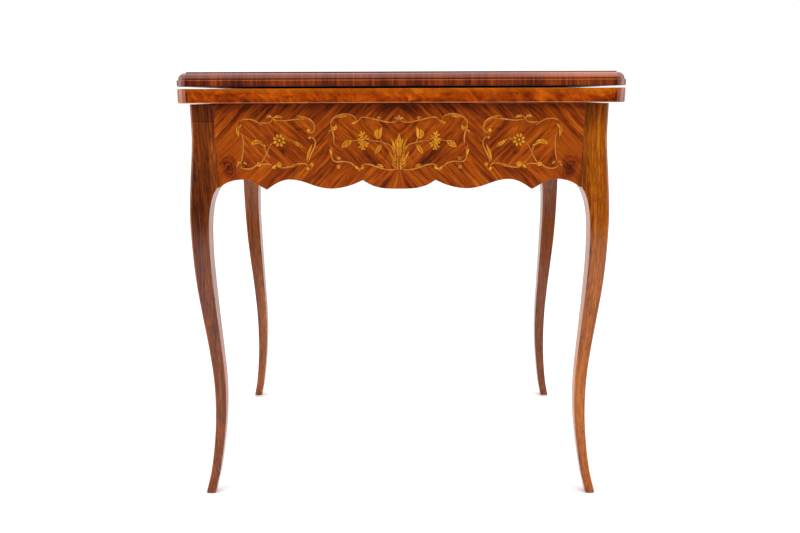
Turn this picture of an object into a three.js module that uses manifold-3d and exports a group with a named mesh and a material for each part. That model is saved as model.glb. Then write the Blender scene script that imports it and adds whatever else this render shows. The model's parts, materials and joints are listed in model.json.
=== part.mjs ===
// Fold-over card table with four cabriole legs, scalloped aprons faced with veneer,
// and a two-leaf top that turns a quarter turn on a pivot and then folds open.
// Millimetres, +Z up, origin on the floor under the middle of the frame, front at -Y.
import * as THREE from 'three';
import { mergeVertices } from 'three/addons/utils/BufferGeometryUtils.js';
import Module from 'manifold-3d';

const wasm = await Module();
wasm.setup();

// ---------------------------------------------------------------- driving dimensions
const FRAME_W = 702;          // over the leg posts, left to right
const FRAME_D = 464;          // over the leg posts, front to back
const LEG_H = 710;            // floor to top of the posts
const POST = 40;              // post section
const TOP_W = 742;            // leaf, left to right
const TOP_D = 498;            // leaf, front to back
const LEAF_Z0 = 711.5;        // underside of the lower leaf
const LEAF_Z1 = 735;          // playing face of the lower leaf
const AXIS_Z = 736.75;        // fold axis, middle of the gap between the leaves
const AXIS_Y = TOP_D / 2;     // fold axis, at the back edge
const LEAF_Z2 = 738.5;        // playing face of the upper leaf when folded
const LEAF_Z3 = 762;          // top of the closed table
const EDGE_BACK = AXIS_Y - 0.4; // back edge of both leaves, clear of the fold axis
const CORNER_R = 13;          // front vertical corners of the leaves
const LIP = 6;                // lipping of the lower leaf
const MOULD = 22;             // width of the upper leaf's moulding
const APRON_T = 20;           // solid apron
const VENEER_T = 1.2;         // face veneer
const GAP = 0.3;              // clearance between touching pieces
const OX = 3.5;               // the closed top stands this far to the right of the frame's middle
const PIVOT_X = (TOP_D / 2 + OX) / 2; // pivot of the quarter turn, placed so that the open top is centred
const PIVOT_Y = (TOP_D / 2 - OX) / 2;
const RAIL_W = 60, RAIL_Z0 = 684, RAIL_Z1 = 708;
const DIVIDER_T = 10;
const FLOOR_Z0 = 640, FLOOR_Z1 = 646;
const BOLT_R = 5;
const HINGE_T = 2.5, HINGE_LEN = 58, EYE_R = 4.2, HINGE_W = 9.5;

const HX = FRAME_W / 2, HY = FRAME_D / 2;
const TX = TOP_W / 2, TY = TOP_D / 2;
const HALF_GAP = AXIS_Z - LEAF_Z1;

// scallop of the long aprons: distance from the middle, depth below the leg tops
const SCALLOP_LONG = [
  [0, 142.4], [15, 142.2], [28, 141.3], [38, 139.2], [47, 136.2], [55, 132], [62, 127.4],
  [68, 130.2], [76, 133.8], [88, 137.8], [102, 140.8], [116, 141.9], [130, 140.6], [142, 137.6],
  [152, 134.2], [162, 130.6], [172, 127.8], [181, 126.4], [188, 126.1], [196, 127.2], [205, 130.2],
  [214, 135], [221, 139.6], [226.5, 143.4], [232, 140.6], [239, 136.2], [248, 131.2], [257, 127.6],
  [265, 126.2], [274, 126.3], [284, 127.9], [293, 130.8], [301, 134.6], [307, 138.2], [310.7, 141],
];
const SCALLOP_SHORT = [
  [0, 142.4], [14.3, 142.1], [27.6, 140.8], [38.8, 138], [48, 134.4], [56.2, 130.8], [61.3, 127.6],
  [67.4, 130.4], [75.6, 134.2], [85.8, 137.4], [96, 139.2], [106.2, 139.4], [115.4, 137.4], [124.6, 133.4],
  [133.8, 129.2], [143, 126.8], [151.2, 126.1], [160.3, 127.2], [169.5, 130], [177.7, 133.8], [185.9, 138],
  [191.7, 141],
];
// leg: height, outward offset of the outer corner, section side
const LEG_PROFILE = [
  [0, 11.2, 17.0], [16, 7.4, 16.9], [35.5, 2.9, 17.1], [78, -3.6, 17.6], [128, -8.5, 19.0], [178, -10.3, 20.7],
  [227, -9.4, 21.8], [284, -5.1, 23.7], [341, 0.6, 26.7], [398, 5.8, 29.5], [454, 8.6, 30.9],
  [505, 9.3, 32.8], [528, 8.9, 34.8], [545, 8.1, 37.3], [557, 7.3, 40.4], [564, 6.8, 43.2],
  [569, 6.4, 46.0], [600, 3.9, 43.9], [620, 2.2, 42.2], [640, 0.8, 40.8], [658, 0, 40], [710, 0, 40],
];

// ---------------------------------------------------------------- colours
const PAINT = {
  walnut: [0x7a4423, 0.38, 0], kingwood: [0x8f4a1e, 0.3, 0], secondary: [0xb98a55, 0.75, 0],
  burl: [0xb9631a, 0.22, 0], moulding: [0x7f3d24, 0.26, 0], baize: [0x2f6b3f, 0.95, 0],
  brass: [0xb58a3c, 0.3, 1], steel: [0x8c8f92, 0.35, 1], lining: [0x5c2a22, 0.95, 0],
  panel: [0x8a4a22, 0.22, 0],
};

// ---------------------------------------------------------------- geometry helpers
function toSolid(geometry) {
  const g = geometry.index ? geometry.toNonIndexed() : geometry.clone();
  g.deleteAttribute('normal');
  g.deleteAttribute('uv');
  const m = mergeVertices(g, 1e-4);
  return new wasm.Manifold(new wasm.Mesh({
    numProp: 3,
    vertProperties: new Float32Array(m.attributes.position.array),
    triVerts: new Uint32Array(m.index.array),
  }));
}
function toGeometry(solid) {
  const mesh = solid.getMesh();
  const g = new THREE.BufferGeometry();
  g.setAttribute('position', new THREE.BufferAttribute(new Float32Array(mesh.vertProperties), 3));
  g.setIndex(new THREE.BufferAttribute(new Uint32Array(mesh.triVerts), 1));
  g.computeVertexNormals();
  return g;
}
function cut(base, ...tools) {
  let s = base;
  for (const t of tools) s = s.subtract(t);
  return s;
}
function box(x0, x1, y0, y1, z0, z1) {
  const g = new THREE.BoxGeometry(x1 - x0, y1 - y0, z1 - z0);
  g.translate((x0 + x1) / 2, (y0 + y1) / 2, (z0 + z1) / 2);
  return g;
}
const sbox = (...a) => toSolid(box(...a));
function shapeOf(points) {
  return new THREE.Shape(points.map(([a, b]) => new THREE.Vector2(a, b)));
}
function extrude(points, depth, holes = []) {
  const s = shapeOf(points);
  for (const h of holes) s.holes.push(new THREE.Path(h.map(([a, b]) => new THREE.Vector2(a, b))));
  return new THREE.ExtrudeGeometry(s, { depth, bevelEnabled: false, steps: 1 });
}
// outline drawn in X and Y
function prismXY(points, z0, z1, holes) {
  const g = extrude(points, z1 - z0, holes);
  g.translate(0, 0, z0);
  return g;
}
// outline drawn in X and Z
function prismXZ(points, y0, y1) {
  const g = extrude(points, y1 - y0);
  g.rotateX(Math.PI / 2);
  g.translate(0, y1, 0);
  return g;
}
// outline drawn in Y and Z
function prismYZ(points, x0, x1) {
  const g = extrude(points, x1 - x0);
  g.applyMatrix4(new THREE.Matrix4().makeBasis(
    new THREE.Vector3(0, 1, 0), new THREE.Vector3(0, 0, 1), new THREE.Vector3(1, 0, 0)));
  g.translate(x0, 0, 0);
  return g;
}
// turned piece: profile of radius and height, about the Z axis
function turned(profile, x, y, segments = 20) {
  const g = new THREE.LatheGeometry(profile.map(([r, z]) => new THREE.Vector2(r, z)), segments);
  g.rotateX(Math.PI / 2);
  g.translate(x, y, 0);
  return g;
}
// cylinder along X, Y or Z
function rod(axis, r, from, to, p, q, segments = 16, r2 = r) {
  const g = new THREE.CylinderGeometry(r2, r, to - from, segments);
  if (axis === 'x') { g.rotateZ(-Math.PI / 2); g.translate((from + to) / 2, p, q); }
  if (axis === 'y') g.translate(p, (from + to) / 2, q);
  if (axis === 'z') { g.rotateX(Math.PI / 2); g.translate(p, q, (from + to) / 2); }
  return g;
}
const srod = (...a) => toSolid(rod(...a));
// stack of closed outlines, each a list of [x, y] at one height, skinned and capped
function skin(rings) {
  const n = rings[0].points.length;
  const pos = [];
  for (const r of rings) for (const [x, y] of r.points) pos.push(x, y, r.z);
  const idx = [];
  for (let k = 0; k < rings.length - 1; k++) {
    for (let i = 0; i < n; i++) {
      const a = k * n + i, b = k * n + (i + 1) % n, c = b + n, d = a + n;
      idx.push(a, b, c, a, c, d);
    }
  }
  const last = (rings.length - 1) * n;
  for (let i = 1; i < n - 1; i++) {
    idx.push(0, i + 1, i);
    idx.push(last, last + i, last + i + 1);
  }
  const g = new THREE.BufferGeometry();
  g.setAttribute('position', new THREE.BufferAttribute(new Float32Array(pos), 3));
  g.setIndex(idx);
  g.computeVertexNormals();
  return g;
}
function mirrored(geometry, sx, sy) {
  const g = geometry.clone();
  g.scale(sx, sy, 1);
  if (sx * sy < 0) {
    const a = g.index.array;
    for (let i = 0; i < a.length; i += 3) { const t = a[i]; a[i] = a[i + 1]; a[i + 1] = t; }
  }
  g.computeVertexNormals();
  return g;
}

// ---------------------------------------------------------------- scene groups
const table = new THREE.Group();
const frame = new THREE.Group();
const lowerLeaf = new THREE.Group();
const pivotGear = new THREE.Group();
const upperLeaf = new THREE.Group();
lowerLeaf.position.x = OX;
upperLeaf.position.x = OX;
table.add(frame, lowerLeaf, pivotGear, upperLeaf);
function add(group, name, geometry, paint) {
  const [color, roughness, metalness] = PAINT[paint];
  const mesh = new THREE.Mesh(geometry, new THREE.MeshStandardMaterial({ color, roughness, metalness }));
  mesh.name = name;
  group.add(mesh);
  return mesh;
}

// ---------------------------------------------------------------- legs
// One leg drawn for the back right corner (+X, +Y). Its two outer faces share one curve.
function legSection(e, t, arris, small) {
  const xo = HX + e, yo = HY + e, xi = xo - t, yi = yo - t;
  const pts = [
    [xi, yi + small], [xi + small, yi],
    [xo - small, yi], [xo, yi + small],
  ];
  const steps = 3;
  for (let i = 0; i <= steps; i++) {
    const a = (i / steps) * Math.PI / 2;
    pts.push([xo - arris + arris * Math.cos(a), yo - arris + arris * Math.sin(a)]);
  }
  pts.push([xi + small, yo], [xi, yo - small]);
  return pts;
}
function legSolid() {
  const curve = new THREE.CatmullRomCurve3(
    LEG_PROFILE.map(([z, e, t]) => new THREE.Vector3(z, e, t)), false, 'centripetal');
  const spans = LEG_PROFILE.length - 1;
  const rings = [];
  const addRing = (z, e, t, inset = 0) => {
    const arris = Math.min(5, 2.4 + Math.max(0, t - 13) * 0.1) - inset * 0.5;
    const small = Math.min(1.6, t * 0.07);
    rings.push({ z, points: legSection(e - inset, t - 2 * inset, arris, small) });
  };
  addRing(0, LEG_PROFILE[0][1], LEG_PROFILE[0][2], 2);
  addRing(0.8, LEG_PROFILE[0][1] - 0.2, LEG_PROFILE[0][2], 0.7);
  addRing(2.4, LEG_PROFILE[0][1] - 0.6, LEG_PROFILE[0][2]);
  for (let k = 0; k < spans; k++) {
    const z0 = LEG_PROFILE[k][0];
    const sub = z0 < 505 ? 2 : 1;
    for (let j = k === 0 ? 1 : 0; j < sub; j++) {
      const p = curve.getPoint((k + j / sub) / spans);
      addRing(p.x, p.y, p.z);
    }
  }
  const end = LEG_PROFILE[spans];
  addRing(end[0], end[1], end[2]);
  return toSolid(skin(rings));
}
// tenon sockets in the post, for the long apron and for the short apron
const TENON_T = 8, TENON_L = 22, TENON_Z0 = 606, TENON_Z1 = 696;
const LONG_TY = HY - 1.5 - APRON_T / 2, SHORT_TX = HX - 1.5 - APRON_T / 2;
const legCut = cut(
  legSolid(),
  sbox(HX - POST - 2, HX - POST + TENON_L + GAP, LONG_TY - TENON_T / 2 - GAP, LONG_TY + TENON_T / 2 + GAP, TENON_Z0 - GAP, TENON_Z1 + GAP),
  sbox(SHORT_TX - TENON_T / 2 - GAP, SHORT_TX + TENON_T / 2 + GAP, HY - POST - 2, HY - POST + TENON_L + GAP, TENON_Z0 - GAP, TENON_Z1 + GAP),
);
const legGeo = toGeometry(legCut);
add(frame, 'leg_front_left', mirrored(legGeo, -1, -1), 'walnut');
add(frame, 'leg_front_right', mirrored(legGeo, 1, -1), 'walnut');
add(frame, 'leg_back_left', mirrored(legGeo, -1, 1), 'walnut');
add(frame, 'leg_back_right', mirrored(legGeo, 1, 1), 'walnut');

// ---------------------------------------------------------------- aprons and their veneers
function apronOutline(scallop, half) {
  const lower = scallop.map(([x, d]) => [x, LEG_H - d]);
  const left = lower.slice(1).reverse().map(([x, z]) => [-x, z]);
  return [...left, ...lower, [half, LEG_H], [-half, LEG_H]];
}
const LONG_H = HX - POST - GAP, SHORT_H = HY - POST - GAP;
const longOutline = apronOutline(SCALLOP_LONG, LONG_H);
const shortOutline = apronOutline(SCALLOP_SHORT, SHORT_H);
const longIn = HY - 1.5 - APRON_T;   // inner face of the long aprons
const shortIn = HX - 1.5 - APRON_T;  // inner face of the short aprons

function longApron(sy) {
  const y0 = Math.min(sy * (HY - 1.5), sy * longIn), y1 = Math.max(sy * (HY - 1.5), sy * longIn);
  const ty = sy * LONG_TY;
  let s = toSolid(prismXZ(longOutline, y0, y1))
    .add(sbox(-(HX - POST + TENON_L), HX - POST + TENON_L, ty - TENON_T / 2, ty + TENON_T / 2, TENON_Z0, TENON_Z1));
  // housing for the pivot rail
  const h0 = Math.min(sy * longIn, sy * (longIn + 8.3)), h1 = Math.max(sy * longIn, sy * (longIn + 8.3));
  s = cut(s, sbox(PIVOT_X - RAIL_W / 2 - GAP, PIVOT_X + RAIL_W / 2 + GAP, sy > 0 ? h0 - 1 : h0, sy > 0 ? h1 : h1 + 1, RAIL_Z0 - GAP, LEG_H + 1));
  // groove for the well floor
  const g0 = sy > 0 ? longIn - 1 : -(longIn + 5.3), g1 = sy > 0 ? longIn + 5.3 : -(longIn - 1);
  s = cut(s, sbox(-LONG_H - 30, PIVOT_X - RAIL_W / 2 - 5, g0, g1, FLOOR_Z0 - GAP, FLOOR_Z1 + GAP));
  return s;
}
function shortApron(sx) {
  const x0 = Math.min(sx * (HX - 1.5), sx * shortIn), x1 = Math.max(sx * (HX - 1.5), sx * shortIn);
  const tx = sx * SHORT_TX;
  let s = toSolid(prismYZ(shortOutline, x0, x1))
    .add(sbox(tx - TENON_T / 2, tx + TENON_T / 2, -(HY - POST + TENON_L), HY - POST + TENON_L, TENON_Z0, TENON_Z1));
  if (sx < 0) s = cut(s, sbox(-(shortIn + 5.3), -(shortIn - 1), -SHORT_H - 1, SHORT_H + 1, FLOOR_Z0 - GAP, FLOOR_Z1 + GAP));
  return s;
}
add(frame, 'apron_front', toGeometry(longApron(-1)), 'secondary');
add(frame, 'apron_back', toGeometry(longApron(1)), 'secondary');
add(frame, 'apron_left', toGeometry(shortApron(-1)), 'secondary');
add(frame, 'apron_right', toGeometry(shortApron(1)), 'secondary');
add(frame, 'veneer_front', prismXZ(longOutline, -HY, -HY + VENEER_T), 'kingwood');
add(frame, 'veneer_back', prismXZ(longOutline, HY - VENEER_T, HY), 'kingwood');
add(frame, 'veneer_left', prismYZ(shortOutline, -HX, -HX + VENEER_T), 'kingwood');
add(frame, 'veneer_right', prismYZ(shortOutline, HX - VENEER_T, HX), 'kingwood');

// ---------------------------------------------------------------- glue blocks behind the posts
function glueBlock(sx, sy) {
  const px = HX - POST - GAP, py = HY - POST - GAP, ax = shortIn - GAP, ay = longIn - GAP, leg = 52;
  const pts = [[px - leg, ay], [ax, py - leg], [ax, py], [px, py], [px, ay]].map(([x, y]) => [sx * x, sy * y]);
  if (sx * sy < 0) pts.reverse();
  return prismXY(pts, 594, FLOOR_Z0 - GAP);
}
add(frame, 'glue_block_front_left', glueBlock(-1, -1), 'secondary');
add(frame, 'glue_block_front_right', glueBlock(1, -1), 'secondary');
add(frame, 'glue_block_back_left', glueBlock(-1, 1), 'secondary');
add(frame, 'glue_block_back_right', glueBlock(1, 1), 'secondary');

// ---------------------------------------------------------------- pivot rail, bush and card well
const railEnd = longIn + 8;
const pivotRail = cut(
  sbox(PIVOT_X - RAIL_W / 2, PIVOT_X + RAIL_W / 2, -railEnd, railEnd, RAIL_Z0, RAIL_Z1),
  srod('z', 8.3, RAIL_Z0 - 1, RAIL_Z1 + 1, PIVOT_X, PIVOT_Y, 24),
);
add(frame, 'pivot_rail', toGeometry(pivotRail), 'secondary');
add(frame, 'pivot_bush', turned([[BOLT_R + 0.4, RAIL_Z0], [8, RAIL_Z0], [8, RAIL_Z1], [BOLT_R + 0.4, RAIL_Z1], [BOLT_R + 0.4, RAIL_Z0]], PIVOT_X, PIVOT_Y, 24), 'brass');

const divX1 = PIVOT_X - RAIL_W / 2 - GAP, divX0 = divX1 - DIVIDER_T;
const divider = cut(
  sbox(divX0, divX1, -(longIn - GAP), longIn - GAP, FLOOR_Z0 - 8, RAIL_Z1),
  sbox(divX0 - 1, divX0 + 4.3, -longIn, longIn, FLOOR_Z0 - GAP, FLOOR_Z1 + GAP),
);
add(frame, 'well_divider', toGeometry(divider), 'secondary');

// floor board, notched round the two left posts and let into the grooves
const fx0 = -(shortIn + 5), fx1 = divX0 + 4, fy = longIn + 5, nx = -(HX - POST - GAP), ny = HY - POST - GAP;
add(frame, 'well_floor', prismXY([[nx, -fy], [fx1 - 4.3, -fy], [fx1 - 4.3, -(longIn - GAP)], [fx1, -(longIn - GAP)], [fx1, longIn - GAP], [fx1 - 4.3, longIn - GAP], [fx1 - 4.3, fy], [nx, fy], [nx, ny], [fx0, ny], [fx0, -ny], [nx, -ny]], FLOOR_Z0, FLOOR_Z1), 'secondary');
const lx0 = -(shortIn - GAP), lx1 = divX0 - GAP, ly = longIn - GAP;
add(frame, 'well_lining', prismXY([[nx, -ly], [lx1, -ly], [lx1, ly], [nx, ly], [nx, ny], [lx0, ny], [lx0, -ny], [nx, -ny]], FLOOR_Z1 + GAP, FLOOR_Z1 + GAP + 1.2), 'lining');

// felt strips on which the lower leaf slides
add(frame, 'runner_front', box(-300, 300, -(longIn + 14), -(longIn + 4), LEG_H + GAP, LEAF_Z0 - GAP), 'baize');
add(frame, 'runner_back', box(-300, 300, longIn + 4, longIn + 14, LEG_H + GAP, LEAF_Z0 - GAP), 'baize');

// ---------------------------------------------------------------- leaf outline, inset by d
// front corners are round, back corners are square because the edge hinges sit there
function leafOutline(d) {
  const r = Math.max(CORNER_R - d, 1), x = TX - d, yf = -(TY - d), yb = EDGE_BACK - d, c = 0.7;
  const pts = [];
  const steps = 10;
  for (let i = 0; i <= steps; i++) {
    const a = Math.PI + (i / steps) * Math.PI / 2;
    pts.push([-(x - r) + r * Math.cos(a), yf + r + r * Math.sin(a)]);
  }
  for (let i = 0; i <= steps; i++) {
    const a = 1.5 * Math.PI + (i / steps) * Math.PI / 2;
    pts.push([x - r + r * Math.cos(a), yf + r + r * Math.sin(a)]);
  }
  pts.push([x, yb - c], [x - c, yb], [-(x - c), yb], [-x, yb - c]);
  return pts;
}
function leafBody(levels) {
  return toSolid(skin(levels.map(([z, d]) => ({ z, points: leafOutline(d) }))));
}
// the four mitred strips of an edge: each keeps the body outside the inner box and
// inside its own wedge, with a hair of clearance at the mitres
function strips(body, width, z0, z1) {
  const ix = TX - width, iyf = -(TY - width), iyb = EDGE_BACK - width;
  const ring = cut(body, sbox(-ix, ix, iyf, iyb, z0 - 5, z1 + 5));
  const s = GAP * 0.75, R = 60;
  const wedge = (pts) => toSolid(prismXY(pts, z0 - 5, z1 + 5));
  return {
    front: ring.intersect(wedge([[-ix - R + s, iyf - R], [ix + R - s, iyf - R], [ix - s, iyf], [ix - s, iyf + 1], [-ix + s, iyf + 1], [-ix + s, iyf]])),
    right: ring.intersect(wedge([[ix - 1, iyf + s], [ix, iyf + s], [ix + R, iyf - R + s], [ix + R, iyb + R - s], [ix, iyb - s], [ix - 1, iyb - s]])),
    back: ring.intersect(wedge([[ix - s, iyb - 1], [ix - s, iyb], [ix + R - s, iyb + R], [-ix - R + s, iyb + R], [-ix + s, iyb], [-ix + s, iyb - 1]])),
    left: ring.intersect(wedge([[-ix + 1, iyb - s], [-ix, iyb - s], [-ix - R, iyb + R - s], [-ix - R, iyf - R + s], [-ix, iyf + s], [-ix + 1, iyf + s]])),
  };
}

// ---------------------------------------------------------------- edge hinges
// Flat brass hinge let into the side edges of both leaves at the back corners. Each plate
// has an eye on the fold axis; the two eyes are half lapped on one pin.
const screwU = [20, 44], screwW = 5.6;
function hingePlate(sx, up) {
  const w0 = HALF_GAP, w1 = HINGE_W, s = up ? 1 : -1;
  const xo = TX - 0.1, xi = xo - HINGE_T, xm = (xo + xi) / 2;
  const X = (a, b) => (sx > 0 ? [a, b] : [-b, -a]);
  const bar = [
    [AXIS_Y - 0.6, AXIS_Z + s * w0], [AXIS_Y - 0.6, AXIS_Z + s * w1],
    [AXIS_Y - HINGE_LEN + 3, AXIS_Z + s * w1], [AXIS_Y - HINGE_LEN, AXIS_Z + s * (w1 - 3)],
    [AXIS_Y - HINGE_LEN, AXIS_Z + s * w0],
  ];
  if (!up) bar.reverse();
  let p = toSolid(prismYZ(bar, ...X(xi, xo)))
    .add(srod('x', EYE_R, ...X(xi, xo), AXIS_Y, AXIS_Z, 16));
  // the lower leaf's plate keeps the outer half of the eye, the upper leaf's the inner half
  const lap = up ? X(xm - GAP / 2, xo + 1) : X(xi - 1, xm + GAP / 2);
  p = cut(p, srod('x', EYE_R + 0.35, ...lap, AXIS_Y, AXIS_Z, 16), srod('x', 1.75, ...X(xi - 1, xo + 1), AXIS_Y, AXIS_Z, 12));
  for (const u of screwU) p = cut(p, screwBore(sx, AXIS_Y - u, AXIS_Z + s * screwW));
  return p;
}
// countersunk screw along X, head flush with the plate
const SCREW_L = 13;
function screwSolid(sx, y, z, grow) {
  const xo = TX - 0.1, X = (a, b) => (sx > 0 ? [a, b] : [-b, -a]);
  const hr = 2.3 + grow, sr = 1.15 + grow;
  const shank = srod('x', sr, ...X(xo - SCREW_L - grow, xo - 0.4), y, z, 12);
  const head = sx > 0
    ? srod('x', sr, xo - 1.5, xo + (grow ? 0.4 : 0), y, z, 12, hr)
    : srod('x', hr, -(xo + (grow ? 0.4 : 0)), -(xo - 1.5), y, z, 12, sr);
  return shank.add(head);
}
const screwBore = (sx, y, z) => screwSolid(sx, y, z, 0.3);
function hingeScrew(sx, y, z) {
  const xo = TX - 0.1;
  const slot = sx > 0 ? sbox(xo - 0.5, xo + 1, y - 3, y + 3, z - 0.35, z + 0.35) : sbox(-(xo + 1), -(xo - 0.5), y - 3, y + 3, z - 0.35, z + 0.35);
  return cut(screwSolid(sx, y, z, 0), slot);
}
// recess in the wood for a plate and its eye
function hingeRecess(sx, up) {
  const s = up ? 1 : -1, X = (a, b) => (sx > 0 ? [a, b] : [-b, -a]);
  const z0 = AXIS_Z + s * (HALF_GAP - 1.5), z1 = AXIS_Z + s * (HINGE_W + GAP);
  const [x0, x1] = X(TX - 0.1 - HINGE_T - GAP, TX + 3);
  return sbox(x0, x1, AXIS_Y - HINGE_LEN - GAP, AXIS_Y + 3, Math.min(z0, z1), Math.max(z0, z1));
}
function hingeBores(up) {
  const out = [];
  for (const sx of [-1, 1]) for (const u of screwU) out.push(screwBore(sx, AXIS_Y - u, AXIS_Z + (up ? 1 : -1) * screwW));
  return out;
}

// ---------------------------------------------------------------- lower leaf
const lowerBody = leafBody([[LEAF_Z0, 1.5], [LEAF_Z0 + 1.5, 0], [LEAF_Z1 - 0.9, 0], [LEAF_Z1, 0.9]]);
const lowerStrips = strips(lowerBody, LIP, LEAF_Z0, LEAF_Z1);
for (const side of ['front', 'back', 'left', 'right']) {
  let s = lowerStrips[side];
  if (side !== 'front') s = cut(s, hingeRecess(-1, false), hingeRecess(1, false), ...hingeBores(false));
  add(lowerLeaf, `lower_lipping_${side}`, toGeometry(s), 'burl');
}
const cx = TX - LIP - GAP, cyf = -(TY - LIP - GAP), cyb = EDGE_BACK - LIP - GAP;
const SKIN = 1.2;
const PX = PIVOT_X - OX; // pivot seen from the middle of the leaf
let lowerCore = sbox(-cx, cx, cyf, cyb, LEAF_Z0, LEAF_Z1 - SKIN - GAP);
lowerCore = cut(lowerCore, ...hingeBores(false),
  srod('z', 12.3, LEAF_Z0 - 1, LEAF_Z0 + 4.8, PX, PIVOT_Y, 24),
  srod('z', 2.2, LEAF_Z0 - 1, LEAF_Z0 + 12.5, PX, PIVOT_Y - 36, 12),
  srod('z', 2.2, LEAF_Z0 - 1, LEAF_Z0 + 12.5, PX, PIVOT_Y + 36, 12));
add(lowerLeaf, 'lower_core', toGeometry(lowerCore), 'secondary');
const BX = 315, BYF = -193, BYB = 192.6;
function border(x, yf, yb, z0, z1) {
  return prismXY([[-x, yf], [x, yf], [x, yb], [-x, yb]], z0, z1,
    [[[-BX, BYF], [-BX, BYB], [BX, BYB], [BX, BYF]]]);
}
add(lowerLeaf, 'lower_crossband', border(cx, cyf, cyb, LEAF_Z1 - SKIN, LEAF_Z1), 'moulding');
add(lowerLeaf, 'lower_baize', box(-BX + GAP, BX - GAP, BYF + GAP, BYB - GAP, LEAF_Z1 - SKIN, LEAF_Z1), 'baize');

// pivot gear under the lower leaf
const PL_Z0 = RAIL_Z1 + 0.8, PL_Z1 = LEAF_Z0 - GAP;
function vScrew(y, grow) {
  return turned(grow
    ? [[0, PL_Z0 - 0.4], [3.9 + 0.4, PL_Z0 - 0.4], [1.9, PL_Z0 + 2.0], [1.9, LEAF_Z0 + 11.9], [0, LEAF_Z0 + 11.9]]
    : [[0, PL_Z0], [3.6, PL_Z0], [1.6, PL_Z0 + 1.9], [1.6, LEAF_Z0 + 11.5], [0, LEAF_Z0 + 11.5]],
  PIVOT_X, PIVOT_Y + y, 12);
}
let plate = toSolid(prismXY([[-14, -50], [14, -50], [22, -42], [22, 42], [14, 50], [-14, 50], [-22, 42], [-22, -42]].map(([x, y]) => [x + PIVOT_X, y + PIVOT_Y]), PL_Z0, PL_Z1));
plate = cut(plate, srod('z', BOLT_R + 0.3, PL_Z0 - 1, PL_Z1 + 1, PIVOT_X, PIVOT_Y, 20), toSolid(vScrew(-36, 1)), toSolid(vScrew(36, 1)));
add(pivotGear, 'pivot_plate', toGeometry(plate), 'steel');
for (const [n, y] of [['1', -36], ['2', 36]]) {
  const s = cut(toSolid(vScrew(y, 0)), sbox(PIVOT_X - 4, PIVOT_X + 4, PIVOT_Y + y - 0.45, PIVOT_Y + y + 0.45, PL_Z0 - 1, PL_Z0 + 0.8));
  add(pivotGear, `pivot_plate_screw_${n}`, toGeometry(s), 'steel');
}
// bolt: flat head held above the plate, shank through plate, bush, washer and wing nut
add(pivotGear, 'pivot_bolt', turned([[0, 658], [4.2, 658], [BOLT_R, 659], [BOLT_R, LEAF_Z0], [12, LEAF_Z0], [12, LEAF_Z0 + 3], [10.5, LEAF_Z0 + 4.4], [0, LEAF_Z0 + 4.4]], PIVOT_X, PIVOT_Y, 20), 'steel');
add(pivotGear, 'pivot_washer', turned([[BOLT_R + GAP, 681.2], [15, 681.2], [15, 683.7], [BOLT_R + GAP, 683.7], [BOLT_R + GAP, 681.2]], PIVOT_X, PIVOT_Y, 24), 'steel');
const wing = (s) => toSolid(prismXZ([[4, 668], [9, 667.5], [14, 664], [21, 661.5], [25, 664], [25.5, 669], [21, 674], [12, 677], [6, 678.5]].map(([x, z]) => [PIVOT_X + s * x, z]), PIVOT_Y - 1.8, PIVOT_Y + 1.8));
const wingNut = cut(
  toSolid(turned([[0, 668], [8, 668], [9.5, 679], [9.5, 680.9], [0, 680.9]], PIVOT_X, PIVOT_Y, 20)).add(wing(1)).add(wing(-1)),
  srod('z', BOLT_R + 0.3, 660, 690, PIVOT_X, PIVOT_Y, 20),
);
add(pivotGear, 'pivot_wing_nut', toGeometry(wingNut), 'brass');
// stop block: meets the back apron's inner face at rest and the front one after a quarter turn
const STOP = 16, stopY = longIn - STOP / 2 - GAP, stopX = PIVOT_X - (stopY + PIVOT_Y);
add(pivotGear, 'stop_block', box(stopX - STOP / 2, stopX + STOP / 2, stopY - STOP / 2, stopY + STOP / 2, 696, LEAF_Z0 - GAP), 'secondary');

// ---------------------------------------------------------------- upper leaf
const BAND_TOP = LEAF_Z2 + 10.6;
const mouldLevels = [[LEAF_Z2, 0.9], [LEAF_Z2 + 0.9, 0], [BAND_TOP - 1.3, 0], [BAND_TOP - 0.4, 0.4], [BAND_TOP, 1.3], [BAND_TOP, 2.6]];
const OVOLO_W = 12, OVOLO_H = 10.9, ARC = 8;
for (let i = 0; i <= ARC; i++) {
  const a = (i / ARC) * Math.PI / 2;
  mouldLevels.push([BAND_TOP + 0.3 + OVOLO_H * Math.sin(a), 2.6 + OVOLO_W * (1 - Math.cos(a))]);
}
mouldLevels.push([BAND_TOP + 0.3 + OVOLO_H, 15.1], [LEAF_Z3, 15.1]);
const upperStrips = strips(leafBody(mouldLevels), MOULD, LEAF_Z2, LEAF_Z3);
for (const side of ['front', 'back', 'left', 'right']) {
  let s = upperStrips[side];
  if (side !== 'front') s = cut(s, hingeRecess(-1, true), hingeRecess(1, true), ...hingeBores(true));
  add(upperLeaf, `upper_moulding_${side}`, toGeometry(s), 'moulding');
}
const ux = TX - MOULD - GAP, uyf = -(TY - MOULD - GAP), uyb = EDGE_BACK - MOULD - GAP;
add(upperLeaf, 'upper_core', box(-ux, ux, uyf, uyb, LEAF_Z2 + SKIN + GAP, LEAF_Z3 - SKIN - GAP), 'secondary');
add(upperLeaf, 'upper_panel', box(-ux, ux, uyf, uyb, LEAF_Z3 - SKIN, LEAF_Z3), 'panel');
add(upperLeaf, 'upper_crossband', border(ux, uyf, uyb, LEAF_Z2, LEAF_Z2 + SKIN), 'moulding');
add(upperLeaf, 'upper_baize', box(-BX + GAP, BX - GAP, BYF + GAP, BYB - GAP, LEAF_Z2, LEAF_Z2 + SKIN), 'baize');

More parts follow.
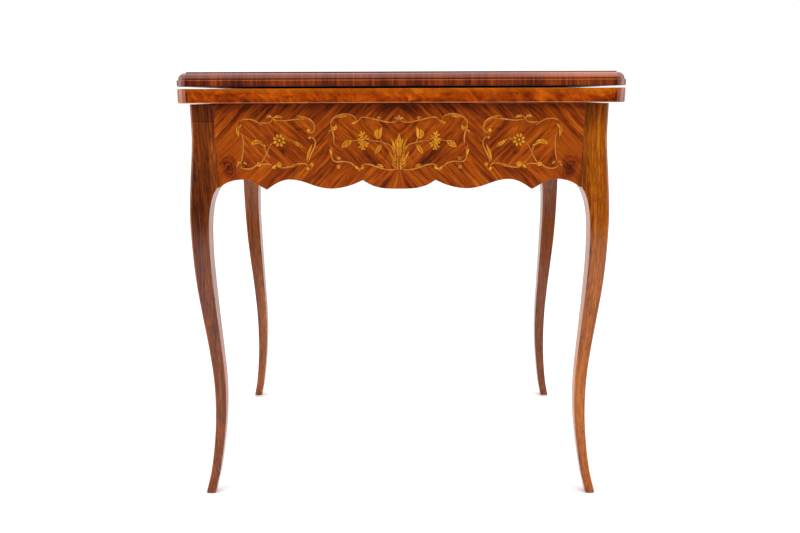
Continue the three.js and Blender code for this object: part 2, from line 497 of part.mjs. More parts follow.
// ---------------------------------------------------------------- hinges
for (const [sx, side] of [[-1, 'left'], [1, 'right']]) {
  add(lowerLeaf, `hinge_${side}_lower`, toGeometry(hingePlate(sx, false)), 'brass');
  add(upperLeaf, `hinge_${side}_upper`, toGeometry(hingePlate(sx, true)), 'brass');
  const xo = TX - 0.1, X = (a, b) => (sx > 0 ? [a, b] : [-b, -a]);
  add(lowerLeaf, `hinge_${side}_pin`, rod('x', 1.4, ...X(xo - HINGE_T, xo), AXIS_Y, AXIS_Z, 12), 'brass');
  screwU.forEach((u, i) => {
    add(lowerLeaf, `hinge_${side}_lower_screw_${i + 1}`, toGeometry(hingeScrew(sx, AXIS_Y - u, AXIS_Z - screwW)), 'brass');
    add(upperLeaf, `hinge_${side}_upper_screw_${i + 1}`, toGeometry(hingeScrew(sx, AXIS_Y - u, AXIS_Z + screwW)), 'brass');
  });
}

export default table;
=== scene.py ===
# Fold-over card table: finish of every surface, marquetry, baize, studio.
import bpy
import bmesh
import json
import math
import random
from mathutils import Vector, Matrix

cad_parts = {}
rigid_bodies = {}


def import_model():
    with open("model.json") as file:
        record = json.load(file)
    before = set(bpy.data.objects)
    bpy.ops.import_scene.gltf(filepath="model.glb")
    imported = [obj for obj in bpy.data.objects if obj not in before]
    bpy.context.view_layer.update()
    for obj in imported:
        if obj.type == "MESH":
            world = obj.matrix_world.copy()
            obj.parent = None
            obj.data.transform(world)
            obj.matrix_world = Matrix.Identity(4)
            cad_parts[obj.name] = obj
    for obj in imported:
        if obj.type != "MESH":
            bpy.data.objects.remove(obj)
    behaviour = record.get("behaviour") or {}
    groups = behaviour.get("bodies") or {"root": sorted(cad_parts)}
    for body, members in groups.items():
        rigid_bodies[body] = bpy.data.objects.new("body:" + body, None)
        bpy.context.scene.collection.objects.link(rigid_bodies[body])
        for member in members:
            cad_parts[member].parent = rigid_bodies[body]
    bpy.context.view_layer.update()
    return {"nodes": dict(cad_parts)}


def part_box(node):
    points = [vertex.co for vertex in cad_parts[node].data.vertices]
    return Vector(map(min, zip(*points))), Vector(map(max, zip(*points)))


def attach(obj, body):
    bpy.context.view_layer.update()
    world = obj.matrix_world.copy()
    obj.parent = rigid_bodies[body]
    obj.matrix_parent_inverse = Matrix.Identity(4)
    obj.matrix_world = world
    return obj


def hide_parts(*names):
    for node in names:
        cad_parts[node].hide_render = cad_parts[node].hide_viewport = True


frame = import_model()
NODES = frame["nodes"]


MM = 0.001
HX, HY = 351.0, 232.0          # half width and depth over the leg posts
TX, TY = 371.0, 249.0          # half width and depth of the leaves
OX = 3.5                       # closed top, to the right of the frame's middle
POST = 40.0
LEG_H = 710.0
GAP = 0.3

# ------------------------------------------------------------------ camera
F_PX = 748.47
CAM = (0.00790, -1.50995, 0.72237)
YAW, PITCH, ROLL = -0.0055, 0.2239, -0.0034


def make_camera():
    cy, sy = math.cos(YAW), math.sin(YAW)
    cp, sp = math.cos(PITCH), math.sin(PITCH)
    cr, sr = math.cos(ROLL), math.sin(ROLL)
    turn = lambda v: Vector((cy * v[0] + sy * v[1], -sy * v[0] + cy * v[1], v[2]))
    r, f, u = Vector((1, 0, 0)), Vector((0, cp, -sp)), Vector((0, sp, cp))
    right, up = turn(r * cr + u * sr), turn(u * cr - r * sr)
    back = -turn(f)
    cam = bpy.data.cameras.new("camera")
    cam.sensor_fit = "HORIZONTAL"
    cam.sensor_width = 36.0
    cam.lens = F_PX * 36.0 / 800.0
    cam.clip_start, cam.clip_end = 0.05, 60
    ob = bpy.data.objects.new("camera", cam)
    bpy.context.scene.collection.objects.link(ob)
    m = Matrix((right, up, back)).transposed().to_4x4()
    m.translation = Vector(CAM)
    ob.matrix_world = m
    bpy.context.scene.camera = ob


make_camera()


# ------------------------------------------------------------------ node writing
class Mat:
    """A procedural material around one Principled shader."""

    def __init__(self, name):
        self.m = bpy.data.materials.new(name)
        self.m.use_nodes = True
        self.t = self.m.node_tree
        self.t.nodes.clear()
        self.out = self.node("ShaderNodeOutputMaterial")
        self.b = self.node("ShaderNodeBsdfPrincipled")
        self.t.links.new(self.b.outputs[0], self.out.inputs[0])
        self.p = self.node("ShaderNodeTexCoord").outputs["Object"]
        s = self.node("ShaderNodeSeparateXYZ")
        self.put(s.inputs[0], self.p)
        self.x, self.y, self.z = s.outputs

    def node(self, kind, **props):
        n = self.t.nodes.new(kind)
        for k, v in props.items():
            setattr(n, k, v)
        return n

    def put(self, sock, v):
        if isinstance(v, bpy.types.NodeSocket):
            self.t.links.new(v, sock)
        elif isinstance(v, (tuple, list)) and len(v) == 3 and sock.type == "RGBA":
            sock.default_value = (*v, 1.0)
        else:
            sock.default_value = v

    def math(self, op, *args, clamp=False):
        n = self.node("ShaderNodeMath", operation=op, use_clamp=clamp)
        for i, a in enumerate(args):
            self.put(n.inputs[i], a)
        return n.outputs[0]

    def add(self, *a):
        r = a[0]
        for b in a[1:]:
            r = self.math("ADD", r, b)
        return r

    def mul(self, *a):
        r = a[0]
        for b in a[1:]:
            r = self.math("MULTIPLY", r, b)
        return r

    def sub(self, a, b):
        return self.math("SUBTRACT", a, b)

    def mad(self, a, b, c):
        return self.math("MULTIPLY_ADD", a, b, c)

    def vec(self, x, y, z):
        n = self.node("ShaderNodeCombineXYZ")
        for i, a in enumerate((x, y, z)):
            self.put(n.inputs[i], a)
        return n.outputs[0]

    def mix(self, fac, a, b, mode="MIX"):
        n = self.node("ShaderNodeMix", data_type="RGBA", blend_type=mode)
        self.put(n.inputs[0], fac)
        self.put(n.inputs[6], a)
        self.put(n.inputs[7], b)
        return n.outputs[2]

    def ramp(self, fac, *stops, interp="LINEAR"):
        n = self.node("ShaderNodeValToRGB")
        r = n.color_ramp
        r.interpolation = interp
        while len(r.elements) < len(stops):
            r.elements.new(0.5)
        for e, (pos, col) in zip(r.elements, stops):
            e.position = pos
            if not isinstance(col, (tuple, list)):
                col = (col, col, col)
            e.color = (*col, 1.0)
        self.put(n.inputs[0], fac)
        return n.outputs[0]

    def step(self, v, lo, hi, a=0.0, b=1.0):
        n = self.node("ShaderNodeMapRange", interpolation_type="SMOOTHSTEP")
        for i, k in enumerate((v, lo, hi, a, b)):
            self.put(n.inputs[i], k)
        return n.outputs[0]

    def line(self, v, lo, hi, a=0.0, b=1.0):
        n = self.node("ShaderNodeMapRange", interpolation_type="LINEAR", clamp=True)
        for i, k in enumerate((v, lo, hi, a, b)):
            self.put(n.inputs[i], k)
        return n.outputs[0]

    def noise(self, vec, scale=1.0, detail=3.0, rough=0.5, dist=0.0):
        n = self.node("ShaderNodeTexNoise", noise_dimensions="3D")
        self.put(n.inputs["Vector"], vec)
        self.put(n.inputs["Scale"], scale)
        self.put(n.inputs["Detail"], detail)
        self.put(n.inputs["Roughness"], rough)
        self.put(n.inputs["Distortion"], dist)
        return n.outputs["Fac"]

    def normal(self):
        s = self.node("ShaderNodeSeparateXYZ")
        self.put(s.inputs[0], self.node("ShaderNodeTexCoord").outputs["Normal"])
        return s.outputs[0], s.outputs[1], s.outputs[2]

    def bump(self, height, distance, strength=1.0):
        n = self.node("ShaderNodeBump")
        n.inputs["Strength"].default_value = strength
        n.inputs["Distance"].default_value = distance
        self.put(n.inputs["Height"], height)
        self.put(self.b.inputs["Normal"], n.outputs[0])

    def finish(self, color, rough, ior=1.5, coat=0.0, coat_rough=0.06, metal=0.0, sheen=0.0, sheen_rough=0.5, sheen_tint=None, spec=0.5):
        b = self.b.inputs
        self.put(b["Base Color"], color)
        self.put(b["Roughness"], rough)
        b["IOR"].default_value = ior
        b["Specular IOR Level"].default_value = spec
        b["Coat Weight"].default_value = coat
        b["Coat Roughness"].default_value = coat_rough
        b["Metallic"].default_value = metal
        b["Sheen Weight"].default_value = sheen
        b["Sheen Roughness"].default_value = sheen_rough
        if sheen_tint:
            b["Sheen Tint"].default_value = (*sheen_tint, 1.0)
        return self.m


def wood(name, frame_of, palette, seed, rough=(0.28, 0.40), wave=0.004, broad=(3.0, 28.0), stripe=(5.0, 150.0),
         fine=(30.0, 800.0), pore=(90.0, 2600.0), weights=(0.45, 0.4, 0.15), contrast=1.0, pores=0.3, bump=0.00003,
         ripple=0.0006, blotch=0.0, extra=None):
    """Wood along a grain line. frame_of(M) gives (along, across, depth) in metres."""
    M = Mat(name)
    al, ac, dp = frame_of(M)
    off = M.add(dp, seed * 1.37)
    warp = M.noise(M.vec(M.mul(al, 6.0), M.mul(ac, 14.0), M.mul(off, 3.0)), 1.0, 2.0, 0.5)
    small = M.noise(M.vec(M.mul(al, 45.0), M.mul(ac, 80.0), M.mul(off, 9.0)), 1.0, 1.0, 0.5)
    ac2 = M.mad(M.sub(warp, 0.5), 2 * wave, ac)
    ac2 = M.mad(M.sub(small, 0.5), 2 * ripple, ac2)
    def layer(sa, sc, det, ro, dist=0.0, shift=0.0):
        return M.noise(M.vec(M.mad(al, sa, seed * 3.1 + shift), M.mad(ac2, sc, seed * 1.7 + shift), M.mul(off, sc * 0.25)), 1.0, det, ro, dist)
    n1 = layer(*broad, 2.0, 0.5, 0.3)
    n2 = layer(*stripe, 3.0, 0.6, 0.15, 5.0)
    n3 = layer(*fine, 2.0, 0.5, 0.0, 9.0)
    v = M.add(M.mul(n1, weights[0]), M.mul(n2, weights[1]), M.mul(n3, weights[2]))
    v = M.mad(M.sub(v, 0.5 * sum(weights)), 2.4 * contrast, 0.5)
    if blotch:
        spot = M.noise(M.vec(M.mul(al, 38.0), M.mul(ac2, 60.0), M.mad(off, 9.0, 5.0)), 1.0, 3.0, 0.6, 0.8)
        v = M.sub(v, M.mul(M.step(spot, 0.52, 0.70), blotch))
    if extra:
        v = extra(M, v, al, ac2)
    k = len(palette) - 1
    col = M.ramp(v, *[(i / k, c) for i, c in enumerate(palette)])
    p = layer(*pore, 1.0, 0.5, 0.0, 3.0)
    pm = M.line(p, 0.60, 0.70)
    col = M.mix(M.mul(pm, pores), col, (palette[0][0] * 0.35, palette[0][1] * 0.35, palette[0][2] * 0.35))
    r = M.line(M.add(M.mul(n2, 0.5), M.mul(pm, 0.5)), 0.2, 0.9, rough[0], rough[1])
    M.bump(M.sub(M.mul(n3, 0.5), M.mul(pm, 0.7)), bump)
    return M, col, r


# ------------------------------------------------------------------ mesh helpers
def new_object(name, verts, faces, mats, face_mats=None, smooth=True):
    me = bpy.data.meshes.new(name)
    me.from_pydata(verts, [], faces)
    me.update()
    for m in mats:
        me.materials.append(m)
    if face_mats:
        me.polygons.foreach_set("material_index", face_mats)
    if smooth:
        me.polygons.foreach_set("use_smooth", [True] * len(me.polygons))
    me.validate()
    ob = bpy.data.objects.new(name, me)
    bpy.context.scene.collection.objects.link(ob)
    return ob


def tidy_group():
    """Joins the split corners of a carried-over node and shades it smooth below a 30 degree edge."""
    g = bpy.data.node_groups.new("tidy_surface", "GeometryNodeTree")
    g.interface.new_socket("Geometry", in_out="INPUT", socket_type="NodeSocketGeometry")
    g.interface.new_socket("Geometry", in_out="OUTPUT", socket_type="NodeSocketGeometry")
    n = g.nodes
    i, o = n.new("NodeGroupInput"), n.new("NodeGroupOutput")
    merge = n.new("GeometryNodeMergeByDistance")
    merge.inputs["Distance"].default_value = 1e-6
    drop = n.new("GeometryNodeRemoveAttribute")
    drop.inputs["Name"].default_value = "custom_normal"
    face = n.new("GeometryNodeSetShadeSmooth")
    face.domain = "FACE"
    edge = n.new("GeometryNodeSetShadeSmooth")
    edge.domain = "EDGE"
    edge.inputs["Shade Smooth"].default_value = False
    ang = n.new("GeometryNodeInputMeshEdgeAngle")
    cmp_ = n.new("FunctionNodeCompare")
    cmp_.data_type = "FLOAT"
    cmp_.operation = "GREATER_THAN"
    cmp_.inputs["B"].default_value = math.radians(30)
    L = g.links.new
    L(i.outputs[0], merge.inputs["Geometry"])
    L(merge.outputs[0], drop.inputs["Geometry"])
    L(drop.outputs[0], face.inputs["Geometry"])
    L(face.outputs[0], edge.inputs["Geometry"])
    L(ang.outputs["Unsigned Angle"], cmp_.inputs["A"])
    L(cmp_.outputs[0], edge.inputs["Selection"])
    L(edge.outputs[0], o.inputs[0])
    return g


TIDY = tidy_group()


def weigh(ob):
    w = ob.modifiers.new("weigh", "WEIGHTED_NORMAL")
    w.weight, w.keep_sharp = 100, True


def keep(name, material, bevel=0.0, even=False):
    """A carried-over node: own material, joined corners, optional rounded edges."""
    ob = NODES[name]
    ob.data.materials.clear()
    ob.data.materials.append(material)
    if bevel:
        first = ob.modifiers.new("join", "NODES")
        first.node_group = TIDY
        b = ob.modifiers.new("round", "BEVEL")
        b.width, b.segments, b.limit_method, b.angle_limit = bevel, 2, "ANGLE", math.radians(35)
        b.harden_normals = False
    t = ob.modifiers.new("tidy", "NODES")
    t.node_group = TIDY
    if bevel or even:
        weigh(ob)
    return ob


def catmull(pts, per, closed=False):
    """Centripetal Catmull-Rom through 2-D points, per samples a span."""
    out, n = [], len(pts)
    spans = n if closed else n - 1
    for i in range(spans):
        if closed:
            p = [pts[(i + k) % n] for k in (-1, 0, 1, 2)]
        else:
            a, b = pts[i], pts[i + 1]
            p0 = pts[i - 1] if i else [2 * a[k] - b[k] for k in range(len(a))]
            p3 = pts[i + 2] if i + 2 < n else [2 * b[k] - a[k] for k in range(len(a))]
            p = [p0, a, b, p3]
        d = [max(1e-6, math.dist(p[k], p[k + 1]) ** 0.5) for k in range(3)]
        m = per(i) if callable(per) else per
        for j in range(m):
            t = j / m
            q = []
            for k in range(len(p[0])):
                x0, x1, x2, x3 = (w[k] for w in p)
                t1 = ((x1 - x0) / d[0] - (x2 - x0) / (d[0] + d[1]) + (x2 - x1) / d[1]) * d[1]
                t2 = ((x2 - x1) / d[1] - (x3 - x1) / (d[1] + d[2]) + (x3 - x2) / d[2]) * d[1]
                q.append(x1 + t1 * t + (-3 * x1 + 3 * x2 - 2 * t1 - t2) * t * t + (2 * x1 - 2 * x2 + t1 + t2) * t ** 3)
            out.append(q)
    if not closed:
        out.append(list(pts[-1]))
    return out


# ------------------------------------------------------------------ legs
LEG_PROFILE = [
    (0, 11.2, 17.0), (16, 7.4, 16.9), (35.5, 2.9, 17.1), (78, -3.6, 17.6), (128, -8.5, 19.0), (178, -10.3, 20.7),
    (227, -9.4, 21.8), (284, -5.1, 23.7), (341, 0.6, 26.7), (398, 5.8, 29.5), (454, 8.6, 30.9),
    (505, 9.3, 32.8), (528, 8.9, 34.8), (545, 8.1, 37.3), (557, 7.3, 40.4), (564, 6.8, 43.2),
    (569, 6.4, 46.0), (600, 3.9, 43.9), (620, 2.2, 42.2), (640, 0.8, 40.8), (658, 0, 40), (710, 0, 40),
]


def arc(cx, cy, r, a0, a1, n):
    return [(cx + r * math.cos(a0 + (a1 - a0) * i / n), cy + r * math.sin(a0 + (a1 - a0) * i / n)) for i in range(n + 1)]


def leg_ring(e, t, inset=0.0):
    """Section of the back right leg, counter-clockwise: flat faces, a round outer arris, small round others."""
    e, t = e - inset, t - 2 * inset
    ar = min(5.0, 2.4 + max(0.0, t + 2 * inset - 13) * 0.1) - inset * 0.5
    sm = 0.8
    xo, yo = HX + e, HY + e
    xi, yi = xo - t, yo - t
    q = math.pi / 2
    pts = arc(xi + sm, yi + sm, sm, 2 * q, 3 * q, 3)
    pts += [((xi + sm) * (1 - k) + (xo - sm) * k, yi) for k in (0.06, 0.5, 0.94)]
    pts += arc(xo - sm, yi + sm, sm, 3 * q, 4 * q, 3)
    pts += [(xo, (yi + sm) * (1 - k) + (yo - ar) * k) for k in (0.06, 0.5, 0.94)]
    pts += arc(xo - ar, yo - ar, ar, 0, q, 8)
    pts += [((xo - ar) * (1 - k) + (xi + sm) * k, yo) for k in (0.06, 0.5, 0.94)]
    pts += arc(xi + sm, yo - sm, sm, q, 2 * q, 3)
    pts += [(xi, (yo - sm) * (1 - k) + (yi + sm) * k) for k in (0.06, 0.5, 0.94)]
    return pts


def make_leg(name, sx, sy, material):
    steps = lambda i: max(2, round((LEG_PROFILE[i + 1][0] - LEG_PROFILE[i][0]) / 5.5))
    prof = catmull(LEG_PROFILE, steps)
    rings = [(0.0, leg_ring(LEG_PROFILE[0][1], LEG_PROFILE[0][2], 2.0)),
             (0.35, leg_ring(LEG_PROFILE[0][1] - 0.1, LEG_PROFILE[0][2], 1.2)),
             (1.1, leg_ring(LEG_PROFILE[0][1] - 0.3, LEG_PROFILE[0][2], 0.45)),
             (2.4, leg_ring(LEG_PROFILE[0][1] - 0.6, LEG_PROFILE[0][2]))]
    rings += [(z, leg_ring(e, t)) for z, e, t in prof if z > 3.6 and z < 709]
    rings += [(709.2, leg_ring(0, 40)), (709.9, leg_ring(0, 40, 0.4)), (710.0, leg_ring(0, 40, 0.6))]
    n = len(rings[0][1])
    verts = [(sx * x * MM, sy * y * MM, z * MM) for z, ring in rings for x, y in ring]
    flip = sx * sy < 0
    faces = []
    for k in range(len(rings) - 1):
        for i in range(n):
            a, b = k * n + i, k * n + (i + 1) % n
            f = (a, b, b + n, a + n)
            faces.append(f[::-1] if flip else f)
    low, top = list(range(n)), [(len(rings) - 1) * n + i for i in range(n)]
    faces.append(low if flip else low[::-1])
    faces.append(top[::-1] if flip else top)
    ob = new_object(name, verts, faces, [material])
    # sockets for the apron tenons
    tz0, tz1, tt, tl = 606 - GAP, 696 + GAP, 4 + GAP, 22 + GAP
    ly, lx = HY - 1.5 - 10, HX - 1.5 - 10
    for k, (x0, x1, y0, y1) in enumerate(((HX - POST - 3, HX - POST + tl, ly - tt, ly + tt), (lx - tt, lx + tt, HY - POST - 3, HY - POST + tl))):
        c = box_mesh("cutter", sx * x0, sx * x1, sy * y0, sy * y1, tz0, tz1)
        m = ob.modifiers.new("socket%d" % k, "BOOLEAN")
        m.operation, m.object, m.solver = "DIFFERENCE", c, "EXACT"
    bake_modifiers(ob)
    for c in [o for o in bpy.data.objects if o.name.startswith("cutter")]:
        bpy.data.objects.remove(c)
    t = ob.modifiers.new("tidy", "NODES")
    t.node_group = TIDY
    weigh(ob)
    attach(ob, "frame")
    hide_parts(name.replace("cabriole_", "") if name.startswith("cabriole_") else name)
    return ob


def box_mesh(name, x0, x1, y0, y1, z0, z1):
    x0, x1 = sorted((x0 * MM, x1 * MM)); y0, y1 = sorted((y0 * MM, y1 * MM)); z0, z1 = z0 * MM, z1 * MM
    v = [(x0, y0, z0), (x1, y0, z0), (x1, y1, z0), (x0, y1, z0), (x0, y0, z1), (x1, y0, z1), (x1, y1, z1), (x0, y1, z1)]
    f = [(0, 3, 2, 1), (4, 5, 6, 7), (0, 1, 5, 4), (1, 2, 6, 5), (2, 3, 7, 6), (3, 0, 4, 7)]
    return new_object(name, v, f, [], smooth=False)


def bake_modifiers(ob):
    """The modifiers so far become the mesh."""
    bpy.context.view_layer.update()
    dg = bpy.context.evaluated_depsgraph_get()
    me = bpy.data.meshes.new_from_object(ob.evaluated_get(dg))
    old = ob.data
    ob.modifiers.clear()
    ob.data = me
    bpy.data.meshes.remove(old)


# ------------------------------------------------------------------ palettes (linear)
SEEDS = {"leg_front_left": 1, "leg_front_right": 2, "leg_back_left": 3, "leg_back_right": 4}
# Each leg has its own tone, partly its own wood and partly painted light: the front right leg is lighter as if lit from
# the right.
LEG_PALETTE = {
    "leg_front_left": [(0.03318, 0.007028, 0.002059), (0.0935, 0.01757, 0.003604), (0.1885, 0.03935, 0.005405), (0.3619, 0.08715, 0.008365)],
    "leg_front_right": [(0.07262, 0.01455, 0.001609), (0.1876, 0.03958, 0.00236), (0.3207, 0.07684, 0.002789), (0.4841, 0.1455, 0.006435)],
    "leg_back_left": [(0.05218, 0.01172, 0.002608), (0.1417, 0.03153, 0.005217), (0.2609, 0.06598, 0.01044), (0.4175, 0.1172, 0.01956)],
    "leg_back_right": [(0.03822, 0.008296, 0.002145), (0.1083, 0.02251, 0.00429), (0.2038, 0.0474, 0.007508), (0.3312, 0.08892, 0.01502)],
}


def leg_material(name):
    seed = SEEDS[name]
    fo = lambda M: (M.z, M.add(M.x, M.mul(M.y, 0.9)), M.sub(M.y, M.x))

    def extra(M, v, al, ac):
        spots = M.noise(M.vec(M.mul(M.x, 130.0), M.mul(M.y, 130.0), M.mad(M.z, 38.0, seed)), 1.0, 2.0, 0.5)
        v = M.sub(v, M.mul(M.step(spots, 0.62, 0.78), 0.30))
        # painted highlight: the outer arris and the inner side face are lighter, standing in for their reflections,
        # most on the front left leg
        nx, ny, nz = M.normal()
        sx, sy = (1 if "right" in name else -1), (1 if "back" in name else -1)
        arris_painted_highlight = M.step(M.mul(nx, ny, float(sx * sy)), 0.18, 0.42)
        inner_side_painted_sheen = M.step(M.mul(nx, float(-sx)), 0.86, 0.98)
        left = name == "leg_front_left"
        v = M.add(v, M.mul(arris_painted_highlight, 0.42 if left else 0.14), M.mul(inner_side_painted_sheen, 0.30 if left else 0.12))
        if name == "leg_front_left":
            # painted light: the inner part of the front face below the knee is lightened
            inner = M.mul(M.step(M.x, -0.325, -0.317), M.step(M.z, 0.668, 0.640))
            v = M.add(v, M.mul(inner, 0.22))
            patch = M.step(M.z, 0.6812, 0.6824)
            seam = M.mul(M.step(M.z, 0.6806, 0.6812), M.step(M.z, 0.6826, 0.6820))
            v = M.sub(v, M.add(M.mul(patch, 0.13), M.mul(seam, 0.35)))
            waist = M.mul(M.step(M.z, 0.455, 0.53), M.step(M.z, 0.645, 0.575))
            v = M.add(v, M.mul(waist, -0.11), M.mul(M.step(M.z, 0.60, 0.65), 0.07), M.mul(M.step(M.z, 0.20, 0.11), 0.10), M.mul(M.step(M.z, 0.07, 0.01), -0.16))
        if name == "leg_front_right":
            v = M.add(v, M.mul(M.step(M.z, 0.60, 0.65), 0.10), M.mul(M.step(M.z, 0.36, 0.20), 0.13), M.mul(M.step(M.z, 0.10, 0.02), -0.12))
        # painted shadow under the top: darker near the top of each leg, strongest on the front right leg
        return M.sub(v, M.mul(M.step(M.z, 0.655, 0.700), 0.34 if name == "leg_front_right" else 0.05))

    M, col, r = wood("finish_" + name, fo, LEG_PALETTE[name], seed, rough=(0.15, 0.24), wave=0.0028, broad=(2.2, 48.0),
                     stripe=(6.0, 420.0), fine=(36.0, 1300.0), pore=(75.0, 2200.0), weights=(0.30, 0.42, 0.44), contrast=1.25,
                     pores=0.75, bump=0.00003, ripple=0.0004, blotch=0.05, extra=extra)
    return M.finish(col, r, spec=0.36)


# ------------------------------------------------------------------ apron veneers
def veneer_palette():
    return [(0.06045, 0.009828, 0.001702), (0.1511, 0.02211, 0.002309), (0.2599, 0.043, 0.002674), (0.3627, 0.07371, 0.003647), (0.4836, 0.1229, 0.006685)]


def run_axis(M, side):
    """Distance along the apron, to the right as seen from outside."""
    return {"front": M.x, "back": M.mul(M.x, -1.0), "left": M.mul(M.y, -1.0), "right": M.y}[side]


def ground_material(side):
    half = 0.3107 if side in ("front", "back") else 0.1917

    def fo(M):
        u = M.math("ABSOLUTE", run_axis(M, side))
        q = M.mul(M.add(u, M.z), 0.7071)
        p = M.mul(M.sub(u, M.z), 0.7071)
        # below the middle panel the veneers fan out from the panel's lower edge
        z0, rad = 0.6060, 0.034
        phi = M.math("ARCTAN2", u, M.math("MAXIMUM", M.sub(z0, M.z), 0.0001))
        fan = M.mad(M.sub(phi, math.pi / 4), rad, z0 * 0.7071)
        q = M.mad(M.math("LESS_THAN", q, z0 * 0.7071), M.sub(fan, q), q)
        sign = M.math("SIGN", run_axis(M, side))
        return p, q, M.mul(sign, 0.004)

    def extra(M, v, al, ac):
        u = M.math("ABSOLUTE", run_axis(M, side))
        s = M.mad(ac, 1.41421, 0.3107 - half)      # u + z as on the long apron
        light = M.mul(M.step(s, 0.962, 0.968), M.step(s, 0.982, 0.974))
        dark = M.mul(M.step(s, 0.948, 0.956), M.step(s, 0.966, 0.960))
        end = M.step(u, half - 0.075, half - 0.05)
        calm = M.mul(end, M.step(s, 0.958, 0.946))
        v = M.add(M.mul(v, M.sub(1.0, M.mul(calm, 0.55))), M.mul(calm, 0.33))
        v = M.add(v, M.mul(light, end, 0.20), M.mul(dark, end, -0.20))
        # knot
        ku, kz = M.sub(u, half - 0.0212), M.sub(M.z, 0.606)
        kr = M.math("SQRT", M.add(M.mul(ku, ku), M.mul(kz, kz, 0.45)))
        wob = M.noise(M.vec(M.mul(u, 60.0), M.mul(M.z, 60.0), 0.3), 1.0, 3.0, 0.6)
        kr = M.mad(M.sub(wob, 0.5), 0.018, kr)
        rings = M.mad(M.math("SINE", M.mul(kr, 1150.0)), 0.5, 0.5)
        near = M.step(kr, 0.021, 0.004)
        v = M.sub(v, M.mul(near, M.mad(rings, 0.34, 0.26)))
        foot = M.mul(M.step(u, half - 0.012, half - 0.002), M.step(M.z, 0.606, 0.585))
        v = M.sub(v, M.mul(foot, 0.16))
        seam = M.step(u, 0.0007, 0.0002)
        # painted shadow under the top's overhang: darker towards the top of the apron
        top_painted_shadow = M.add(M.mul(M.line(M.z, 0.670, 0.700), 0.16), M.mul(M.step(M.z, 0.694, 0.709), 0.18))
        return M.sub(v, M.add(M.mul(seam, 0.22), top_painted_shadow))

    M, col, r = wood("finish_veneer_" + side, fo, veneer_palette(), 11 + len(side), rough=(0.15, 0.24), wave=0.0040,
                     broad=(9.0, 60.0), stripe=(17.0, 250.0), fine=(60.0, 700.0), pore=(160.0, 2400.0),
                     weights=(0.36, 0.60, 0.24), contrast=1.1, pores=0.35, bump=0.000015, ripple=0.0012, blotch=0.12, extra=extra)
    return M.finish(col, r, spec=0.38)


def panel_material(side):
    def fo(M):
        u = M.math("ABSOLUTE", run_axis(M, side))
        q = M.mul(M.sub(u, M.z), 0.7071)
        p = M.mul(M.add(u, M.z), 0.7071)
        sign = M.math("SIGN", run_axis(M, side))
        return p, q, M.mul(sign, 0.004)

    def extra(M, v, al, ac):
        u = M.math("ABSOLUTE", run_axis(M, side))
        return M.sub(v, M.mul(M.step(u, 0.128, 0.120), 0.07))

    M, col, r = wood("finish_panel_" + side, fo, veneer_palette(), 31 + len(side), rough=(0.15, 0.24), wave=0.0050,
                     broad=(10.0, 50.0), stripe=(20.0, 210.0), fine=(60.0, 650.0), pore=(160.0, 2400.0),
                     weights=(0.36, 0.55, 0.24), contrast=1.1, pores=0.35, bump=0.000015, ripple=0.0016, blotch=0.22, extra=extra)
    return M.finish(col, r, spec=0.38)


def inlay_material(name, palette, seed):
    fo = lambda M: (M.z, M.add(M.x, M.y), M.sub(M.x, M.y))
    M, col, r = wood(name, fo, palette, seed, rough=(0.15, 0.22), wave=0.002, broad=(20.0, 90.0), stripe=(60.0, 320.0),
                     fine=(120.0, 1500.0), pore=(200.0, 3000.0), weights=(0.6, 0.45, 0.15), contrast=1.2, pores=0.12, bump=0.00001)
    return M.finish(col, r)


GOLD = inlay_material("inlay_gold", [(0.3372, 0.09236, 0.004544), (0.5666, 0.1913, 0.01136), (0.8094, 0.3429, 0.03181)], 51)
PALE = inlay_material("inlay_scroll", [(0.338, 0.09828, 0.013), (0.494, 0.1685, 0.026), (0.65, 0.2527, 0.052)], 52)
KERF = inlay_material("inlay_line", [(0.022, 0.004, 0.0012), (0.045, 0.008, 0.0018), (0.075, 0.014, 0.0025)], 53)

SCALLOP_LONG = [
    [(0, 142.4), (15, 142.2), (28, 141.3), (38, 139.2), (47, 136.2), (55, 132), (62, 127.4)],
    [(62, 127.4), (68, 130.2), (76, 133.8), (88, 137.8), (102, 140.8), (116, 141.9), (130, 140.6), (142, 137.6),
     (152, 134.2), (162, 130.6), (172, 127.8), (181, 126.4), (188, 126.1), (196, 127.2), (205, 130.2), (214, 135),
     (221, 139.6), (226.5, 143.4)],
    [(226.5, 143.4), (232, 140.6), (239, 136.2), (248, 131.2), (257, 127.6), (265, 126.2), (274, 126.3), (284, 127.9),
     (293, 130.8), (301, 134.6), (307, 138.2), (310.7, 141)],
]
SCALLOP_SHORT = [
    [(0, 142.4), (14.3, 142.1), (27.6, 140.8), (38.8, 138), (48, 134.4), (56.2, 130.8), (61.3, 127.6)],
    [(61.3, 127.6), (67.4, 130.4), (75.6, 134.2), (85.8, 137.4), (96, 139.2), (106.2, 139.4), (115.4, 137.4),
     (124.6, 133.4), (133.8, 129.2), (143, 126.8), (151.2, 126.1), (160.3, 127.2), (169.5, 130), (177.7, 133.8),
     (185.9, 138), (191.7, 141)],
]


def place(side, u, z, h):
    """A point of an apron's face: u to the right seen from outside, z up, h out of the face, all mm."""
    if side == "front":
        return (u * MM, -(HY + h) * MM, z * MM)
    if side == "back":
        return (-u * MM, (HY + h) * MM, z * MM)
    if side == "left":
        return (-(HX + h) * MM, -u * MM, z * MM)
    return ((HX + h) * MM, u * MM, z * MM)


